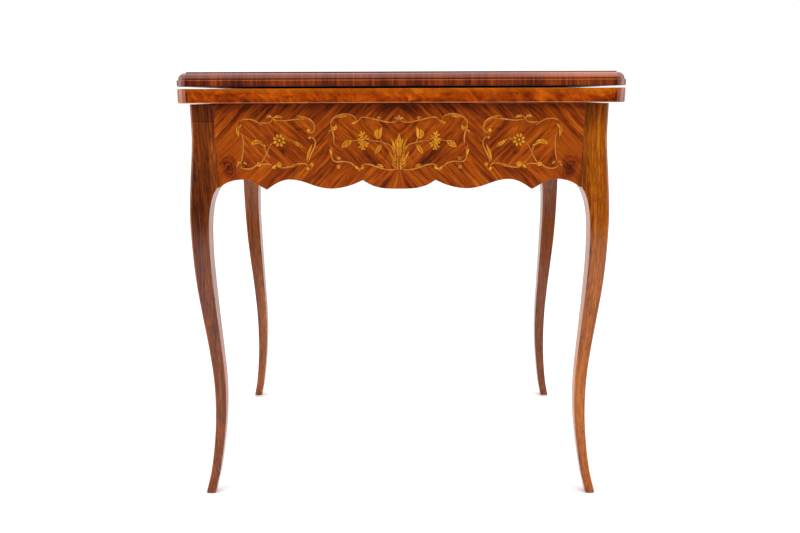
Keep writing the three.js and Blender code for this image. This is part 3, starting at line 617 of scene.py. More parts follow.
def make_veneer(side):
    spans = SCALLOP_LONG if side in ("front", "back") else SCALLOP_SHORT
    half = []
    for k, s in enumerate(spans):
        half += catmull(s, 5)[(1 if k else 0):]
    low = [(-u, d) for u, d in half[:0:-1]] + half
    n = len(low)
    H0, H1 = -1.2, 0.0
    verts = []
    for h in (H1, H0):
        verts += [place(side, u, LEG_H - d, h) for u, d in low]
        verts += [place(side, u, LEG_H, h) for u, d in low]
    F, B = 0, 2 * n
    faces = []
    for i in range(n - 1):
        faces.append((F + i, F + i + 1, F + n + i + 1, F + n + i))
        faces.append((B + i + 1, B + i, B + n + i, B + n + i + 1))
        faces.append((B + i, B + i + 1, F + i + 1, F + i))
        faces.append((F + n + i, F + n + i + 1, B + n + i + 1, B + n + i))
    faces.append((B, F, F + n, B + n))
    faces.append((F + n - 1, B + n - 1, B + 2 * n - 1, F + 2 * n - 1))
    ob = new_object("marquetry_ground_" + side, verts, faces, [ground_material(side)], smooth=False)
    b = ob.modifiers.new("round", "BEVEL")
    b.width, b.segments, b.limit_method, b.angle_limit = 0.00035, 2, "ANGLE", math.radians(50)
    t = ob.modifiers.new("tidy", "NODES")
    t.node_group = TIDY
    weigh(ob)
    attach(ob, "frame")
    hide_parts("veneer_" + side)
    return ob


# ------------------------------------------------------------------ marquetry drawing, mm, mirrored about u = 0
SIDE = {
    'R1': [(152.9, 667.1), (150.8, 663.4), (146.8, 662.8), (143.3, 666.1), (142.2, 672.1), (143.4, 678.0), (148.0, 683.3), (154.9, 687.0), (163.4, 689.8), (171.7, 691.2)],
    'R2': [(155.3, 684.9), (164.7, 685.5), (173.7, 684.8), (183.5, 683.6), (193.7, 682.5), (201.2, 682.8), (206.5, 684.7)],
    'R2leaf': [(192.0, 686.6), (198.4, 688.6), (205.0, 689.4), (210.2, 688.0)],
    'R3bud': [(213.2, 688.2), (216.4, 690.0), (219.6, 689.6), (222.6, 687.4)],
    'R3': [(214.0, 681.6), (220.1, 679.3), (227.1, 678.9), (233.4, 680.7)],
    'R4': [(229.3, 674.4), (233.2, 677.1), (238.5, 680.7), (245.0, 683.9), (252.3, 685.2), (260.4, 684.9), (267.2, 682.2)],
    'R5': [(271.7, 674.3), (271.8, 668.4), (271.4, 661.8), (269.7, 654.5)],
    'R6': [(266.6, 664.1), (263.6, 656.0), (263.3, 646.8), (263.8, 636.8), (264.9, 626.8), (267.3, 617.4), (270.0, 610.3)],
    'R6b': [(270.2, 614.0), (273.7, 609.9), (277.0, 604.5)],
    'R7': [(269.7, 608.3), (267.2, 603.9), (260.7, 602.2), (252.7, 602.6), (246.8, 605.3), (241.9, 609.3), (237.7, 612.1)],
    'R8': [(236.8, 609.4), (229.0, 610.4), (221.2, 610.1), (215.5, 608.4)],
    'R8b': [(216.3, 603.0), (212.9, 605.4), (209.1, 607.8)],
    'R9': [(155.2, 604.5), (155.8, 607.9), (158.8, 610.6), (163.8, 611.3), (171.0, 610.6), (178.5, 608.2), (186.4, 605.8), (195.3, 604.1), (202.4, 604.1), (208.4, 606.7)],
    'R9leaf': [(172.2, 609.9), (179.0, 607.8), (187.8, 604.8)],
    'R10': [(150.6, 654.5), (146.6, 654.8), (142.3, 650.2), (141.6, 643.2), (145.0, 634.8), (149.3, 626.4), (152.5, 618.4), (153.7, 612.3)],
    'R10b': [(146.5, 643.8), (149.7, 636.8), (153.3, 628.4), (155.5, 620.0), (156.3, 614.3)],
    'leafA': [(163.2, 638.5), (169.5, 642.4), (176.1, 646.8), (183.0, 651.7)],
    'leafAs': [(182.7, 651.6), (186.7, 652.1), (191.8, 650.0)],
    'sprig': [(226.4, 642.6), (232.7, 646.6), (240.7, 647.9), (250.3, 643.2)],
    'st1': [(231.8, 643.9), (227.3, 637.3), (225.2, 630.9), (223.7, 625.9), (220.3, 620.2)],
    'st2': [(213.2, 646.3), (217.0, 642.6), (220.6, 636.6), (224.1, 628.4), (228.9, 620.2), (233.6, 613.1)],
    'field': [(142.8, 675.4), (144.0, 679.3), (148.0, 683.3), (155.3, 685.9), (164.7, 685.5), (173.7, 684.8), (183.5, 683.6), (193.7, 682.5), (201.2, 682.8), (207.2, 684.4), (214.0, 681.6), (220.1, 679.3), (227.1, 678.9), (233.4, 680.2), (238.4, 681.7), (245.0, 683.9), (252.3, 685.2), (260.4, 684.9), (267.2, 682.2), (271.7, 674.3), (269.5, 668.4), (265.7, 662.4), (263.6, 656.0), (263.3, 646.8), (263.8, 636.8), (264.9, 626.8), (267.3, 617.4), (270.0, 610.3), (267.2, 603.9), (260.7, 602.2), (252.7, 602.6), (246.8, 605.3), (241.9, 608.7), (236.8, 609.4), (229.0, 610.4), (221.2, 610.1), (214.8, 608.4), (208.4, 606.4), (202.4, 604.1), (195.3, 604.1), (186.4, 605.8), (178.5, 608.2), (171.0, 610.6), (163.8, 611.3), (158.1, 610.4), (154.2, 610.9), (152.5, 618.4), (149.3, 626.4), (145.0, 634.8), (141.6, 643.2), (142.3, 650.2), (145.2, 656.5), (145.1, 662.8), (143.3, 666.1), (142.2, 672.1)],
}
MIDDLE = {
    'C1': [(1.6, 684.1), (4.9, 681.1), (10.6, 679.6), (19.2, 679.8), (29.6, 681.9), (39.8, 684.4), (51.6, 687.0), (60.2, 687.9), (65.4, 685.6), (67.0, 681.6)],
    'C2': [(72.0, 682.3), (72.9, 686.3), (77.2, 690.4), (85.7, 692.9), (94.3, 692.9), (102.9, 690.5), (109.8, 686.2), (114.4, 679.6), (114.5, 673.7)],
    'C2leaf': [(84.4, 691.6), (91.1, 690.3), (98.0, 689.0), (105.4, 688.3)],
    'C2e': [(113.6, 670.2), (109.2, 669.2), (106.4, 674.5), (110.0, 680.1)],
    'C3': [(118.2, 661.3), (116.7, 666.3), (112.4, 664.9), (110.5, 658.9), (109.8, 651.3), (110.6, 644.6)],
    'C3b': [(116.4, 643.0), (114.7, 637.6), (113.5, 631.2), (114.3, 623.9), (113.4, 619.1), (110.4, 615.4), (104.5, 613.7), (94.2, 614.4), (83.8, 612.3), (76.6, 607.7), (70.9, 602.8)],
    'C3leaf': [(117.8, 635.6), (115.9, 630.6), (114.3, 623.9)],
    'C4': [(65.3, 602.5), (64.1, 606.8), (58.9, 609.4), (52.8, 609.7), (45.3, 608.0), (37.2, 604.9), (28.4, 602.3), (16.3, 599.9), (7.7, 600.8), (2.2, 601.9)],
    'C4leaf': [(38.5, 608.5), (33.1, 607.8), (26.3, 604.4)],
    'stem': [(7.5, 633.6), (11.2, 638.3), (15.9, 642.0), (22.0, 644.5), (29.9, 646.1), (36.6, 648.1), (43.5, 649.1), (51.6, 648.5)],
    'bud': [(31.0, 652.7), (33.0, 658.4), (35.6, 665.0), (35.9, 671.6)],
    'budstem': [(28.7, 646.0), (30.4, 649.4), (31.2, 653.4)],
    'low': [(29.7, 643.4), (32.8, 638.4), (36.6, 633.0), (40.7, 627.0)],
    'far': [(80.0, 648.9), (85.4, 646.2), (91.2, 642.6), (97.4, 638.2)],
    'farstem': [(68.8, 648.5), (74.6, 649.9), (80.0, 648.5)],
    'mid': [(2.8, 621.9), (6.2, 631.6), (9.5, 641.0), (12.8, 651.7)],
    'lowr': [(3.2, 609.7), (8.6, 616.8), (11.6, 623.2), (15.6, 632.3)],
    'stalk': [(1.7, 602.3), (2.3, 610.1), (2.5, 619.8)],
    'curl': [(2.5, 603.6), (5.9, 604.7), (9.7, 607.4), (10.7, 611.1), (7.9, 612.4)],
    'field': [(0.0, 684.1), (2.2, 683.7), (4.9, 681.1), (10.6, 679.6), (19.2, 679.8), (29.6, 681.9), (39.8, 684.4), (51.6, 687.0), (60.2, 687.9), (65.9, 685.3), (69.5, 683.6), (72.6, 685.9), (77.2, 690.4), (85.7, 692.9), (94.3, 692.9), (102.9, 690.5), (109.8, 686.2), (114.4, 679.6), (114.5, 673.7), (113.7, 666.9), (110.9, 660.6), (109.8, 651.3), (110.6, 644.6), (113.8, 637.6), (113.6, 631.2), (114.3, 623.9), (113.4, 619.1), (110.4, 615.4), (104.5, 613.7), (94.2, 614.4), (83.8, 612.3), (76.6, 607.7), (70.9, 603.5), (67.3, 603.5), (64.1, 606.8), (58.9, 609.4), (52.8, 609.7), (45.3, 608.0), (37.2, 604.9), (28.4, 602.3), (16.3, 599.9), (7.7, 600.8), (0.0, 601.9)],
}


class Drawing:
    """Thin inlaid pieces on one apron, each with a dark saw line round it, later ones lying over earlier ones."""

    def __init__(self, side):
        self.side, self.verts, self.faces, self.mats, self.level = side, [], [], [], 0

    def strip(self, left, right, mat, h, base=-0.3):
        """A closed thin solid between two lines of points."""
        n, o = len(left), len(self.verts)
        s = self.side
        for hh in (h, base):
            self.verts += [place(s, u, z, hh) for u, z in left] + [place(s, u, z, hh) for u, z in right]
        F, B = o, o + 2 * n
        fs = []
        for i in range(n - 1):
            fs += [(F + i, F + i + 1, F + n + i + 1, F + n + i), (B + i + 1, B + i, B + n + i, B + n + i + 1),
                   (F + i + 1, F + i, B + i, B + i + 1), (F + n + i, F + n + i + 1, B + n + i + 1, B + n + i)]
        fs += [(F, F + n, B + n, B), (F + 2 * n - 1, F + n - 1, B + n - 1, B + 2 * n - 1)]
        self.faces += fs
        self.mats += [mat] * len(fs)

    def layers(self, mat, kerf):
        self.level += 1
        h = 0.05 + 0.010 * self.level
        return ([(kerf, 2, h)] if kerf > 0 else []) + [(0.0, mat, h + 0.005)]

    def ribbon(self, pts, width, mat, kerf=0.35, per=6):
        """width(k) for k from 0 to 1 along the line, mm."""
        line = catmull(pts, per) if len(pts) > 2 else [list(pts[0]), list(pts[1])]
        n = len(line)
        run = [0.0]
        for i in range(1, n):
            run.append(run[-1] + math.dist(line[i], line[i - 1]))
        nor = []
        for i in range(n):
            a, b = line[max(0, i - 1)], line[min(n - 1, i + 1)]
            d = math.dist(a, b) or 1.0
            nor.append((-(b[1] - a[1]) / d, (b[0] - a[0]) / d))
        for extra, m, h in self.layers(mat, kerf):
            L, R = [], []
            for (u, z), (nu, nz), r in zip(line, nor, run):
                w = max(0.12, width(r / run[-1])) / 2 + extra
                L.append((u + nu * w, z + nz * w))
                R.append((u - nu * w, z - nz * w))
            self.strip(L, R, m, h)

    def disc(self, cu, cz, ru, rz, mat, angle=0.0, kerf=0.35, n=12):
        ca, sa = math.cos(angle), math.sin(angle)
        for extra, m, h in self.layers(mat, kerf):
            L, R = [], []
            for i in range(n + 1):
                t = math.pi * i / n
                a, b = (ru + extra) * math.cos(t), max(0.02, (rz + extra) * math.sin(t))
                L.append((cu + a * ca - b * sa, cz + a * sa + b * ca))
                R.append((cu + a * ca + b * sa, cz + a * sa - b * ca))
            self.strip(L, R, m, h)

    def leaf(self, pts, w, mat=0, vein=True, ribs=0, fat=0.45, kerf=0.5, vw=0.85):
        prof = lambda k: w * math.sin(math.pi * min(1.0, k ** (math.log(0.5) / math.log(fat)))) ** 0.8 if 0 < k < 1 else 0.15
        self.ribbon(pts, prof, mat, kerf)
        line = catmull(pts, 6) if len(pts) > 2 else pts
        if vein:
            a, b = line[1:-2], max(1, len(line) // 7)
            self.ribbon([a[0]] + a[b:-1:b] + [a[-1]] if len(a) > 2 * b else a, lambda k: vw * (1 - 0.6 * k), 2, 0.0, 3)
        for r in range(ribs):
            k = (r + 1) / (ribs + 1)
            i = int(k * (len(line) - 1))
            p, q = line[i], line[min(len(line) - 1, i + 1)]
            d = math.dist(p, q) or 1.0
            t, nn = ((q[0] - p[0]) / d, (q[1] - p[1]) / d), (-(q[1] - p[1]) / d, (q[0] - p[0]) / d)
            ww = prof(k) * 0.42
            for sgn in (-1, 1):
                e = (p[0] + t[0] * ww * 0.9 + sgn * nn[0] * ww, p[1] + t[1] * ww * 0.9 + sgn * nn[1] * ww)
                self.ribbon([p, e], lambda k: 0.62, 2, 0.0)

    def petal(self, cu, cz, angle, r0, r1, w, mat=0, fat=0.66, kerf=0.55, slit=0.0, sz=1.0):
        """A petal from r0 to r1 along an angle; sz stretches the flower upwards."""
        pts = [(cu + r * math.cos(angle), cz + sz * r * math.sin(angle)) for r in (r0, (r0 + r1) / 2, r1)]
        prof = lambda k: w * math.sin(math.pi * min(1.0, max(0.0, k) ** (math.log(0.5) / math.log(fat)))) ** 0.6 if 0 < k < 1 else 0.35 * w
        self.ribbon(pts, prof, mat, kerf, 5)
        if slit:
            q = [(cu + r * math.cos(angle), cz + sz * r * math.sin(angle)) for r in (r0 * 0.9, r0 + slit * (r1 - r0))]
            self.ribbon(q, lambda k: 0.75 * (1 - 0.5 * k), 2, 0.0)

    def floret(self, cu, cz, r, mat=0, petals=5, turn=0.3):
        for i in range(petals):
            t = turn + 2 * math.pi * i / petals
            self.petal(cu, cz, t, 0.1 * r, r, 1.15 * r, mat, 0.6, 0.25)

    def done(self, name):
        ob = new_object(name, self.verts, self.faces, [GOLD, PALE, KERF], self.mats, smooth=False)
        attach(ob, "frame")
        return ob


def scroll(w, tip=0.5, tail=0.5):
    return lambda k: w * (0.45 + 0.55 * math.sin(math.pi * k) ** 0.7) * min(1.0, (k + 0.02) / 0.06 * tip + 0.3) * min(1.0, (1.02 - k) / 0.06 * tail + 0.3)


def draw_side_panel(D, s):
    m = lambda pts: [(s * u, z) for u, z in pts]
    g = lambda k: m(SIDE[k])
    D.level = 0
    for k, w in (("R1", 2.5), ("R2", 2.1), ("R3", 2.0), ("R4", 2.2), ("R6", 2.3), ("R7", 2.3), ("R8", 2.2), ("R9", 2.5), ("R10", 2.3)):
        D.ribbon(g(k), scroll(w), 1)
    D.ribbon(m([(171.0, 691.2), (166.0, 689.0), (159.0, 686.5)]), scroll(1.6), 1)
    for k, w in (("st1", 1.7), ("st2", 1.6), ("leafAs", 1.3)):
        D.ribbon(g(k), lambda t, w=w: w * (0.7 + 0.3 * t), 1)
    # the ends of both top scrolls curl up to a bud each
    D.ribbon(m([(203.0, 683.2), (208.0, 684.0), (210.6, 686.0), (210.4, 688.8)]), lambda t: 1.7, 0)
    D.ribbon(m([(214.4, 681.9), (212.9, 684.2), (212.7, 686.4), (213.6, 688.6)]), lambda t: 1.5, 1)
    top = D.level
    D.leaf(g("R2leaf"), 4.5, 0, fat=0.6, vw=0.7)
    D.leaf(g("R8b"), 4.8, 0, fat=0.5, vein=False)
    D.leaf(g("R10b"), 4.8, 0, fat=0.5, vein=False)
    D.leaf(g("R3bud"), 5.0, 1, fat=0.5, vein=False)
    D.leaf(g("R9leaf"), 4.8, 0, ribs=2)
    D.leaf(g("R5"), 5.6, 0, fat=0.35)
    D.leaf(m([(264.2, 676.5), (268.0, 673.0), (270.6, 667.5)]), 3.6, 1, vein=False)
    D.leaf(g("R6b"), 3.4, 1, vein=False)
    D.leaf(m([(268.2, 611.0), (271.5, 613.5), (276.0, 613.0)]), 3.4, 1, vein=False)
    D.leaf(m([(265.8, 612.2), (262.0, 612.2), (259.5, 608.6)]), 3.2, 1, vein=False)
    D.leaf(m([(237.5, 645.5), (231.0, 643.8), (224.6, 640.0)]), 4.0, 0, vein=False)
    D.leaf(m([(227.5, 642.8), (234.0, 646.8), (242.0, 647.6), (250.6, 643.4)]), 8.0, 0, ribs=3, fat=0.62)
    D.level = top
    D.leaf(g("leafA"), 5.8, 0, ribs=4, fat=0.38)
    for (u, z), r, c in (((152.6, 666.2), 2.9, 0), ((155.4, 602.4), 2.7, 0), ((150.8, 654.2), 2.2, 1), ((212.0, 603.8), 1.7, 1)):
        D.disc(s * u, z, r, r, c)
    D.floret(s * 148.2, 609.4, 3.4, 0, 4)
    D.floret(s * 238.2, 609.6, 4.0, 0, 4, 0.7)
    D.floret(s * 203.4, 609.4, 4.6, 0, 5, 0.3)
    # eight-petalled flower
    cu, cz = s * 202.1, 650.0
    D.level = top
    D.disc(cu, cz, 9.0, 9.0, 2, kerf=0.0, n=16)
    for a in range(8):
        D.petal(cu, cz, math.pi * (a / 4 + 0.125), 2.4, 11.0, 4.9, 0, 0.68, 0.5, slit=0.45)
    D.disc(cu, cz, 2.5, 2.5, 0, kerf=0.6)


def draw_middle_panel(D):
    for s in (-1, 1):
        m = lambda pts: [(s * u, z) for u, z in pts]
        g = lambda k: m(MIDDLE[k])
        D.level = 0
        for k, w in (("C1", 2.1), ("C2", 2.7), ("C3", 2.3), ("C3b", 2.4), ("C4", 2.3)):
            D.ribbon(g(k), scroll(w), 1)
        for k, w in (("stem", 1.6), ("budstem", 1.5), ("farstem", 1.3), ("curl", 2.1)):
            D.ribbon(g(k), lambda t, w=w: w * (1.0 - 0.3 * t), 1)
        top = D.level
        D.leaf(g("C2leaf"), 4.8, 0)
        D.leaf(m([(114.2, 676.5), (112.0, 670.0), (107.6, 669.6), (105.8, 675.6)]), 5.6, 0, vein=True, fat=0.5)
        D.leaf(m([(79.5, 677.6), (74.6, 679.2), (67.0, 683.6)]), 4.6, 0, vein=False)
        D.leaf(g("C4leaf"), 5.2, 0, fat=0.5, vw=1.4)
        D.leaf(g("C3leaf"), 4.2, 0, vein=False)
        D.leaf(m([(74.6, 607.0), (71.2, 603.2), (66.4, 602.0)]), 4.2, 0, vein=False)
        D.leaf(m([(66.8, 602.0), (62.6, 603.0), (60.0, 607.0)]), 4.2, 0, vein=False)
        D.disc(s * 67.4, 599.6, 1.8, 1.8, 1)
        D.floret(s * 103.0, 605.4, 3.6, 1, 4, 0.78)
        D.floret(s * 102.4, 619.6, 3.4, 1, 3, 0.5)
        D.floret(s * 33.1, 686.6, 3.2, 1, 3, 0.5)
        D.level = top
        D.leaf(g("low"), 7.6, 0, fat=0.5, vw=1.1)
        D.leaf(g("far"), 9.4, 0, fat=0.5, vein=False)
        D.leaf([(p[0] + s * 0.0, p[1]) for p in m([(82.5, 648.0), (86.5, 645.6), (91.0, 642.8), (95.0, 640.0)])], 5.6, 2, vein=False, kerf=0.0)
        D.leaf(m([(83.5, 647.4), (87.5, 645.0), (91.5, 642.4), (94.4, 640.4)]), 3.4, 0, ribs=0, kerf=0.0)
        # bud: a narrow inner petal and a full outer one with a dark slit between
        D.level = top
        D.leaf(m([(32.0, 652.4), (36.4, 656.0), (37.7, 661.6), (35.9, 668.4)]), 9.0, 0, vein=True, fat=0.56, vw=0.5)
        D.leaf(m([(32.0, 652.2), (31.9, 658.6), (31.3, 665.0), (28.6, 672.4)]), 5.8, 0, vein=False, fat=0.5)
        D.leaf(m([(33.4, 655.2), (34.5, 659.6), (34.4, 663.6), (33.4, 667.0)]), 0.9, 2, vein=False, kerf=0.0)
        # carnation: rings of small petals round an upright oval, the saw lines dark between them
        cu, cz = s * 60.7, 648.5
        D.level = top
        D.disc(cu, cz, 7.6, 13.6, 2, kerf=0.0, n=20)
        rnd = random.Random(5)
        for ru, cnt, pw, off in ((9.7, 12, 3.8, 0.5), (6.3, 8, 3.4, 0.0), (3.2, 4, 2.8, 0.5)):
            rz = ru * 1.68
            steps = [(ru * math.cos(2 * math.pi * k / 720), rz * math.sin(2 * math.pi * k / 720)) for k in range(721)]
            run = [0.0]
            for k in range(720):
                run.append(run[-1] + math.dist(steps[k], steps[k + 1]))
            for i in range(cnt):
                want = run[-1] * (i + off) / cnt
                k = next(j for j in range(721) if run[j] >= want)
                eu, ez = steps[k]
                wave = 1.0 + 0.09 * (2 * rnd.random() - 1)
                eu, ez = eu * wave, ez * wave
                nn = math.hypot(eu / ru ** 2, ez / rz ** 2)
                nu, nz = eu / ru ** 2 / nn, ez / rz ** 2 / nn
                ln = (6.2 if ru > 5 else 4.6) * (0.9 + 0.3 * rnd.random())
                lean = 0.9 * (2 * rnd.random() - 1)
                a = (cu + s * (eu - nu * ln), cz + ez - nz * ln)
                b = (cu + s * (eu - nu * ln / 2 + nz * lean), cz + ez - nz * ln / 2 - nu * lean)
                wd = pw * (0.82 + 0.36 * rnd.random())
                D.ribbon([a, b, (cu + s * eu, cz + ez)], lambda q, wd=wd: wd * math.sin(math.pi * (0.12 + 0.74 * q)) if q < 0.97 else wd * 0.28, 0, 0.5, 4)
        # plant
        D.level = top
        D.leaf(m([(2.6, 616.0), (4.8, 626.0), (7.6, 636.0), (11.4, 645.4)]), 9.6, 0, ribs=2, fat=0.46)
        D.leaf(m([(6.4, 632.0), (8.2, 639.6), (10.4, 646.4), (14.6, 653.0)]), 4.2, 0, vein=False, fat=0.40)
        D.leaf(m([(6.6, 628.6), (9.4, 634.2), (12.2, 638.2), (15.4, 641.0)]), 3.6, 0, vein=False, fat=0.45)
        D.leaf(m([(2.6, 606.4), (5.2, 612.0), (8.8, 618.6), (12.4, 625.6)]), 9.8, 0, ribs=2, fat=0.50)
        D.leaf(m([(6.8, 613.4), (9.8, 618.2), (12.8, 623.8), (16.4, 631.2)]), 4.6, 0, vein=False, fat=0.45)
        D.ribbon(m([(2.9, 600.8), (2.2, 608.0), (2.8, 615.0), (3.2, 620.0)]), lambda t: 3.4 - 1.2 * t, 0, 0.4)
        mid = D.level
    # central spike and crest
    D.level = mid
    D.leaf([(-1.2, 634.0), (-3.2, 641.0), (-4.6, 647.0), (-5.2, 653.0)], 4.4, 0, vein=False, fat=0.45)
    D.leaf([(1.2, 634.0), (3.2, 641.0), (4.6, 647.0), (5.2, 653.0)], 4.4, 0, vein=False, fat=0.45)
    D.leaf([(0, 611.0), (0, 626.0), (0, 643.0), (0, 662.0)], 9.4, 0, ribs=3, fat=0.55)
    for a, r in ((-1, 3.6), (1, 3.6), (0, 4.0)):
        D.leaf([(a * 0.8, 683.0), (a * 3.6, 686.0 + (1.5 if not a else 0)), (a * 7.6, 687.4 + (4.4 if not a else 0))], r, 1, vein=False, fat=0.6)


def field(side, name, outline, s=1, double=False):
    """The ground inside a panel, cut with its grain the other way."""
    ring = catmull(outline, 4, closed=not double)
    if double:
        ring = ring + [(-u, z) for u, z in ring[-2:0:-1]]
    pts = [(s * u, z) for u, z in ring]
    if s < 0:
        pts.reverse()
    n = len(pts)
    verts = [place(side, u, z, 0.035) for u, z in pts] + [place(side, u, z, -0.4) for u, z in pts]
    bm = bmesh.new()
    vs = [bm.verts.new(v) for v in verts]
    bm.faces.new(vs[:n])
    bm.faces.new(vs[n:][::-1])
    for i in range(n):
        j = (i + 1) % n
        bm.faces.new((vs[i], vs[n + i], vs[n + j], vs[j]))
    bmesh.ops.recalc_face_normals(bm, faces=bm.faces)
    bmesh.ops.triangulate(bm, faces=[f for f in bm.faces if len(f.verts) > 4])
    me = bpy.data.meshes.new(name)
    bm.to_mesh(me)
    bm.free()
    me.materials.append(PANEL[side])
    ob = bpy.data.objects.new(name, me)
    bpy.context.scene.collection.objects.link(ob)
    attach(ob, "frame")
    return ob


PANEL = {s: panel_material(s) for s in ("front", "back", "left", "right")}
for side in ("front", "back", "left", "right"):
    make_veneer(side)
    D = Drawing(side)
    field(side, "panel_middle_" + side, MIDDLE["field"], double=True)
    draw_middle_panel(D)
    if side in ("front", "back"):
        for s, word in ((-1, "left"), (1, "right")):
            field(side, "panel_%s_%s" % (word, side), SIDE["field"], s)
            draw_side_panel(D, s)
    D.done("marquetry_" + side)

for name in ("leg_front_left", "leg_front_right", "leg_back_left", "leg_back_right"):
    make_leg("cabriole_" + name, 1 if "right" in name else -1, 1 if "back" in name else -1, leg_material(name))

# ------------------------------------------------------------------ leaf edges
BURL = [(0.08468, 0.009045, 0.0006458), (0.1751, 0.02023, 0.0006458), (0.2767, 0.03725, 0.0007894), (0.3783, 0.06386, 0.001148), (0.4968, 0.1117, 0.00287)]


def burl_material(name, run):
    M = Mat(name)
    u = M.x if run == "x" else M.y
    w = M.add(M.y if run == "x" else M.x, M.z)
    v0 = M.vec(M.mul(u, 22.0), M.mul(w, 30.0), M.mul(M.z, 38.0))
    swirl = M.noise(v0, 1.0, 3.0, 0.55, 1.4)
    v1 = M.vec(M.mad(u, 9.0, 3.0), M.mul(w, 10.0), M.mad(M.z, 20.0, M.mul(swirl, 1.2)))
    patch = M.noise(v1, 1.0, 2.0, 0.5, 0.6)
    diag = M.noise(M.vec(M.add(M.mul(u, 120.0), M.mul(M.z, 90.0), M.mul(swirl, 4.0)), M.mul(w, 30.0), M.mul(M.z, 30.0)), 1.0, 3.0, 0.6, 0.5)
    dark = M.step(M.noise(M.vec(M.mul(u, 16.0), M.mul(w, 9.0), M.mad(M.z, 12.0, 7.0)), 1.0, 2.0, 0.5, 1.0), 0.58, 0.72)
    v = M.add(M.mul(swirl, 0.5), M.mul(patch, 0.5), M.mul(diag, 0.55))
    v = M.mad(M.sub(v, 0.775), 2.5, 0.54)
    v = M.sub(v, M.mul(dark, 0.30))
    # crotch marks: short dark feathers leaning both ways, and thin pale flecks along the edge
    feather = M.noise(M.vec(M.mad(u, 150.0, M.mul(patch, 6.0)), M.mul(w, 30.0), M.mad(M.z, 75.0, M.mul(swirl, 3.0))), 1.0, 3.0, 0.6, 0.8)
    fleck = M.noise(M.vec(M.mad(u, 55.0, 9.0), M.mul(w, 20.0), M.mad(M.z, 420.0, M.mul(swirl, 5.0))), 1.0, 2.0, 0.5)
    where = M.step(M.noise(M.vec(M.mad(u, 13.0, 2.2), M.mul(w, 9.0), M.mul(M.z, 8.0)), 1.0, 2.0, 0.5, 0.8), 0.46, 0.62)
    v = M.sub(v, M.mul(M.step(feather, 0.56, 0.70), where, 0.30))
    v = M.add(v, M.mul(M.step(fleck, 0.60, 0.74), 0.16))
    v = M.sub(v, M.mul(M.step(M.z, 0.7200, 0.7138), 0.17))
    # painted highlight along the rounded top and bottom arrises; the level faces there are painted darker
    arris = M.add(M.step(M.z, 0.7336, 0.7343), M.mul(M.step(M.z, 0.7135, 0.7128), 1.0))
    flat = M.step(M.math("ABSOLUTE", M.normal()[2]), 0.90, 0.99)
    v = M.add(v, M.mul(arris, M.mad(flat, -0.62, 0.42)))
    # the corner pieces are jointed on
    c0 = OX * MM if run == "x" else 0.0
    edge = (TX if run == "x" else TY) * MM
    cu = M.math("ABSOLUTE", M.sub(u, c0))
    joint = M.mul(M.step(cu, edge - 0.0202, edge - 0.0188), M.step(cu, edge - 0.0158, edge - 0.0168))
    joint2 = M.mul(M.step(cu, edge - 0.0246, edge - 0.0240), M.step(cu, edge - 0.0226, edge - 0.0232))
    v = M.sub(v, M.add(M.mul(joint, 0.42), M.mul(joint2, 0.16)))
    col = M.ramp(v, *[(i / 4, c) for i, c in enumerate(BURL)])
    gold = M.mul(M.step(M.z, 0.7255, 0.7330), M.sub(1.0, flat))
    col = M.mix(M.mul(gold, 0.35), col, (0.42, 0.115, 0.004))
    # the corner pieces are pale and pinkish, partly their own wood and partly a painted reflection; the right-hand ones
    # are painted darker than the left
    piece = M.step(cu, edge - 0.0172, edge - 0.0155)
    grain = M.noise(M.vec(M.mul(u, 260.0), M.mul(w, 60.0), M.mul(M.z, 30.0)), 1.0, 2.0, 0.5)
    right_end_painted_darker = M.math("GREATER_THAN", u, 0.0)
    pale = M.mix(right_end_painted_darker, M.mix(grain, (0.29, 0.090, 0.050), (0.42, 0.165, 0.100)), M.mix(grain, (0.19, 0.055, 0.035), (0.29, 0.100, 0.065)))
    col = M.mix(M.mul(piece, 0.80), col, pale)
    r = M.line(diag, 0.2, 0.8, 0.10, 0.16)
    M.bump(M.add(swirl, M.mul(diag, 0.3)), 0.00003)
    return M.finish(col, r)


CROSS = [(0.02088, 0.00351, 0.002153), (0.06961, 0.01053, 0.00366), (0.1369, 0.02106, 0.005382), (0.2262, 0.03978, 0.006243), (0.3596, 0.07722, 0.009149)]


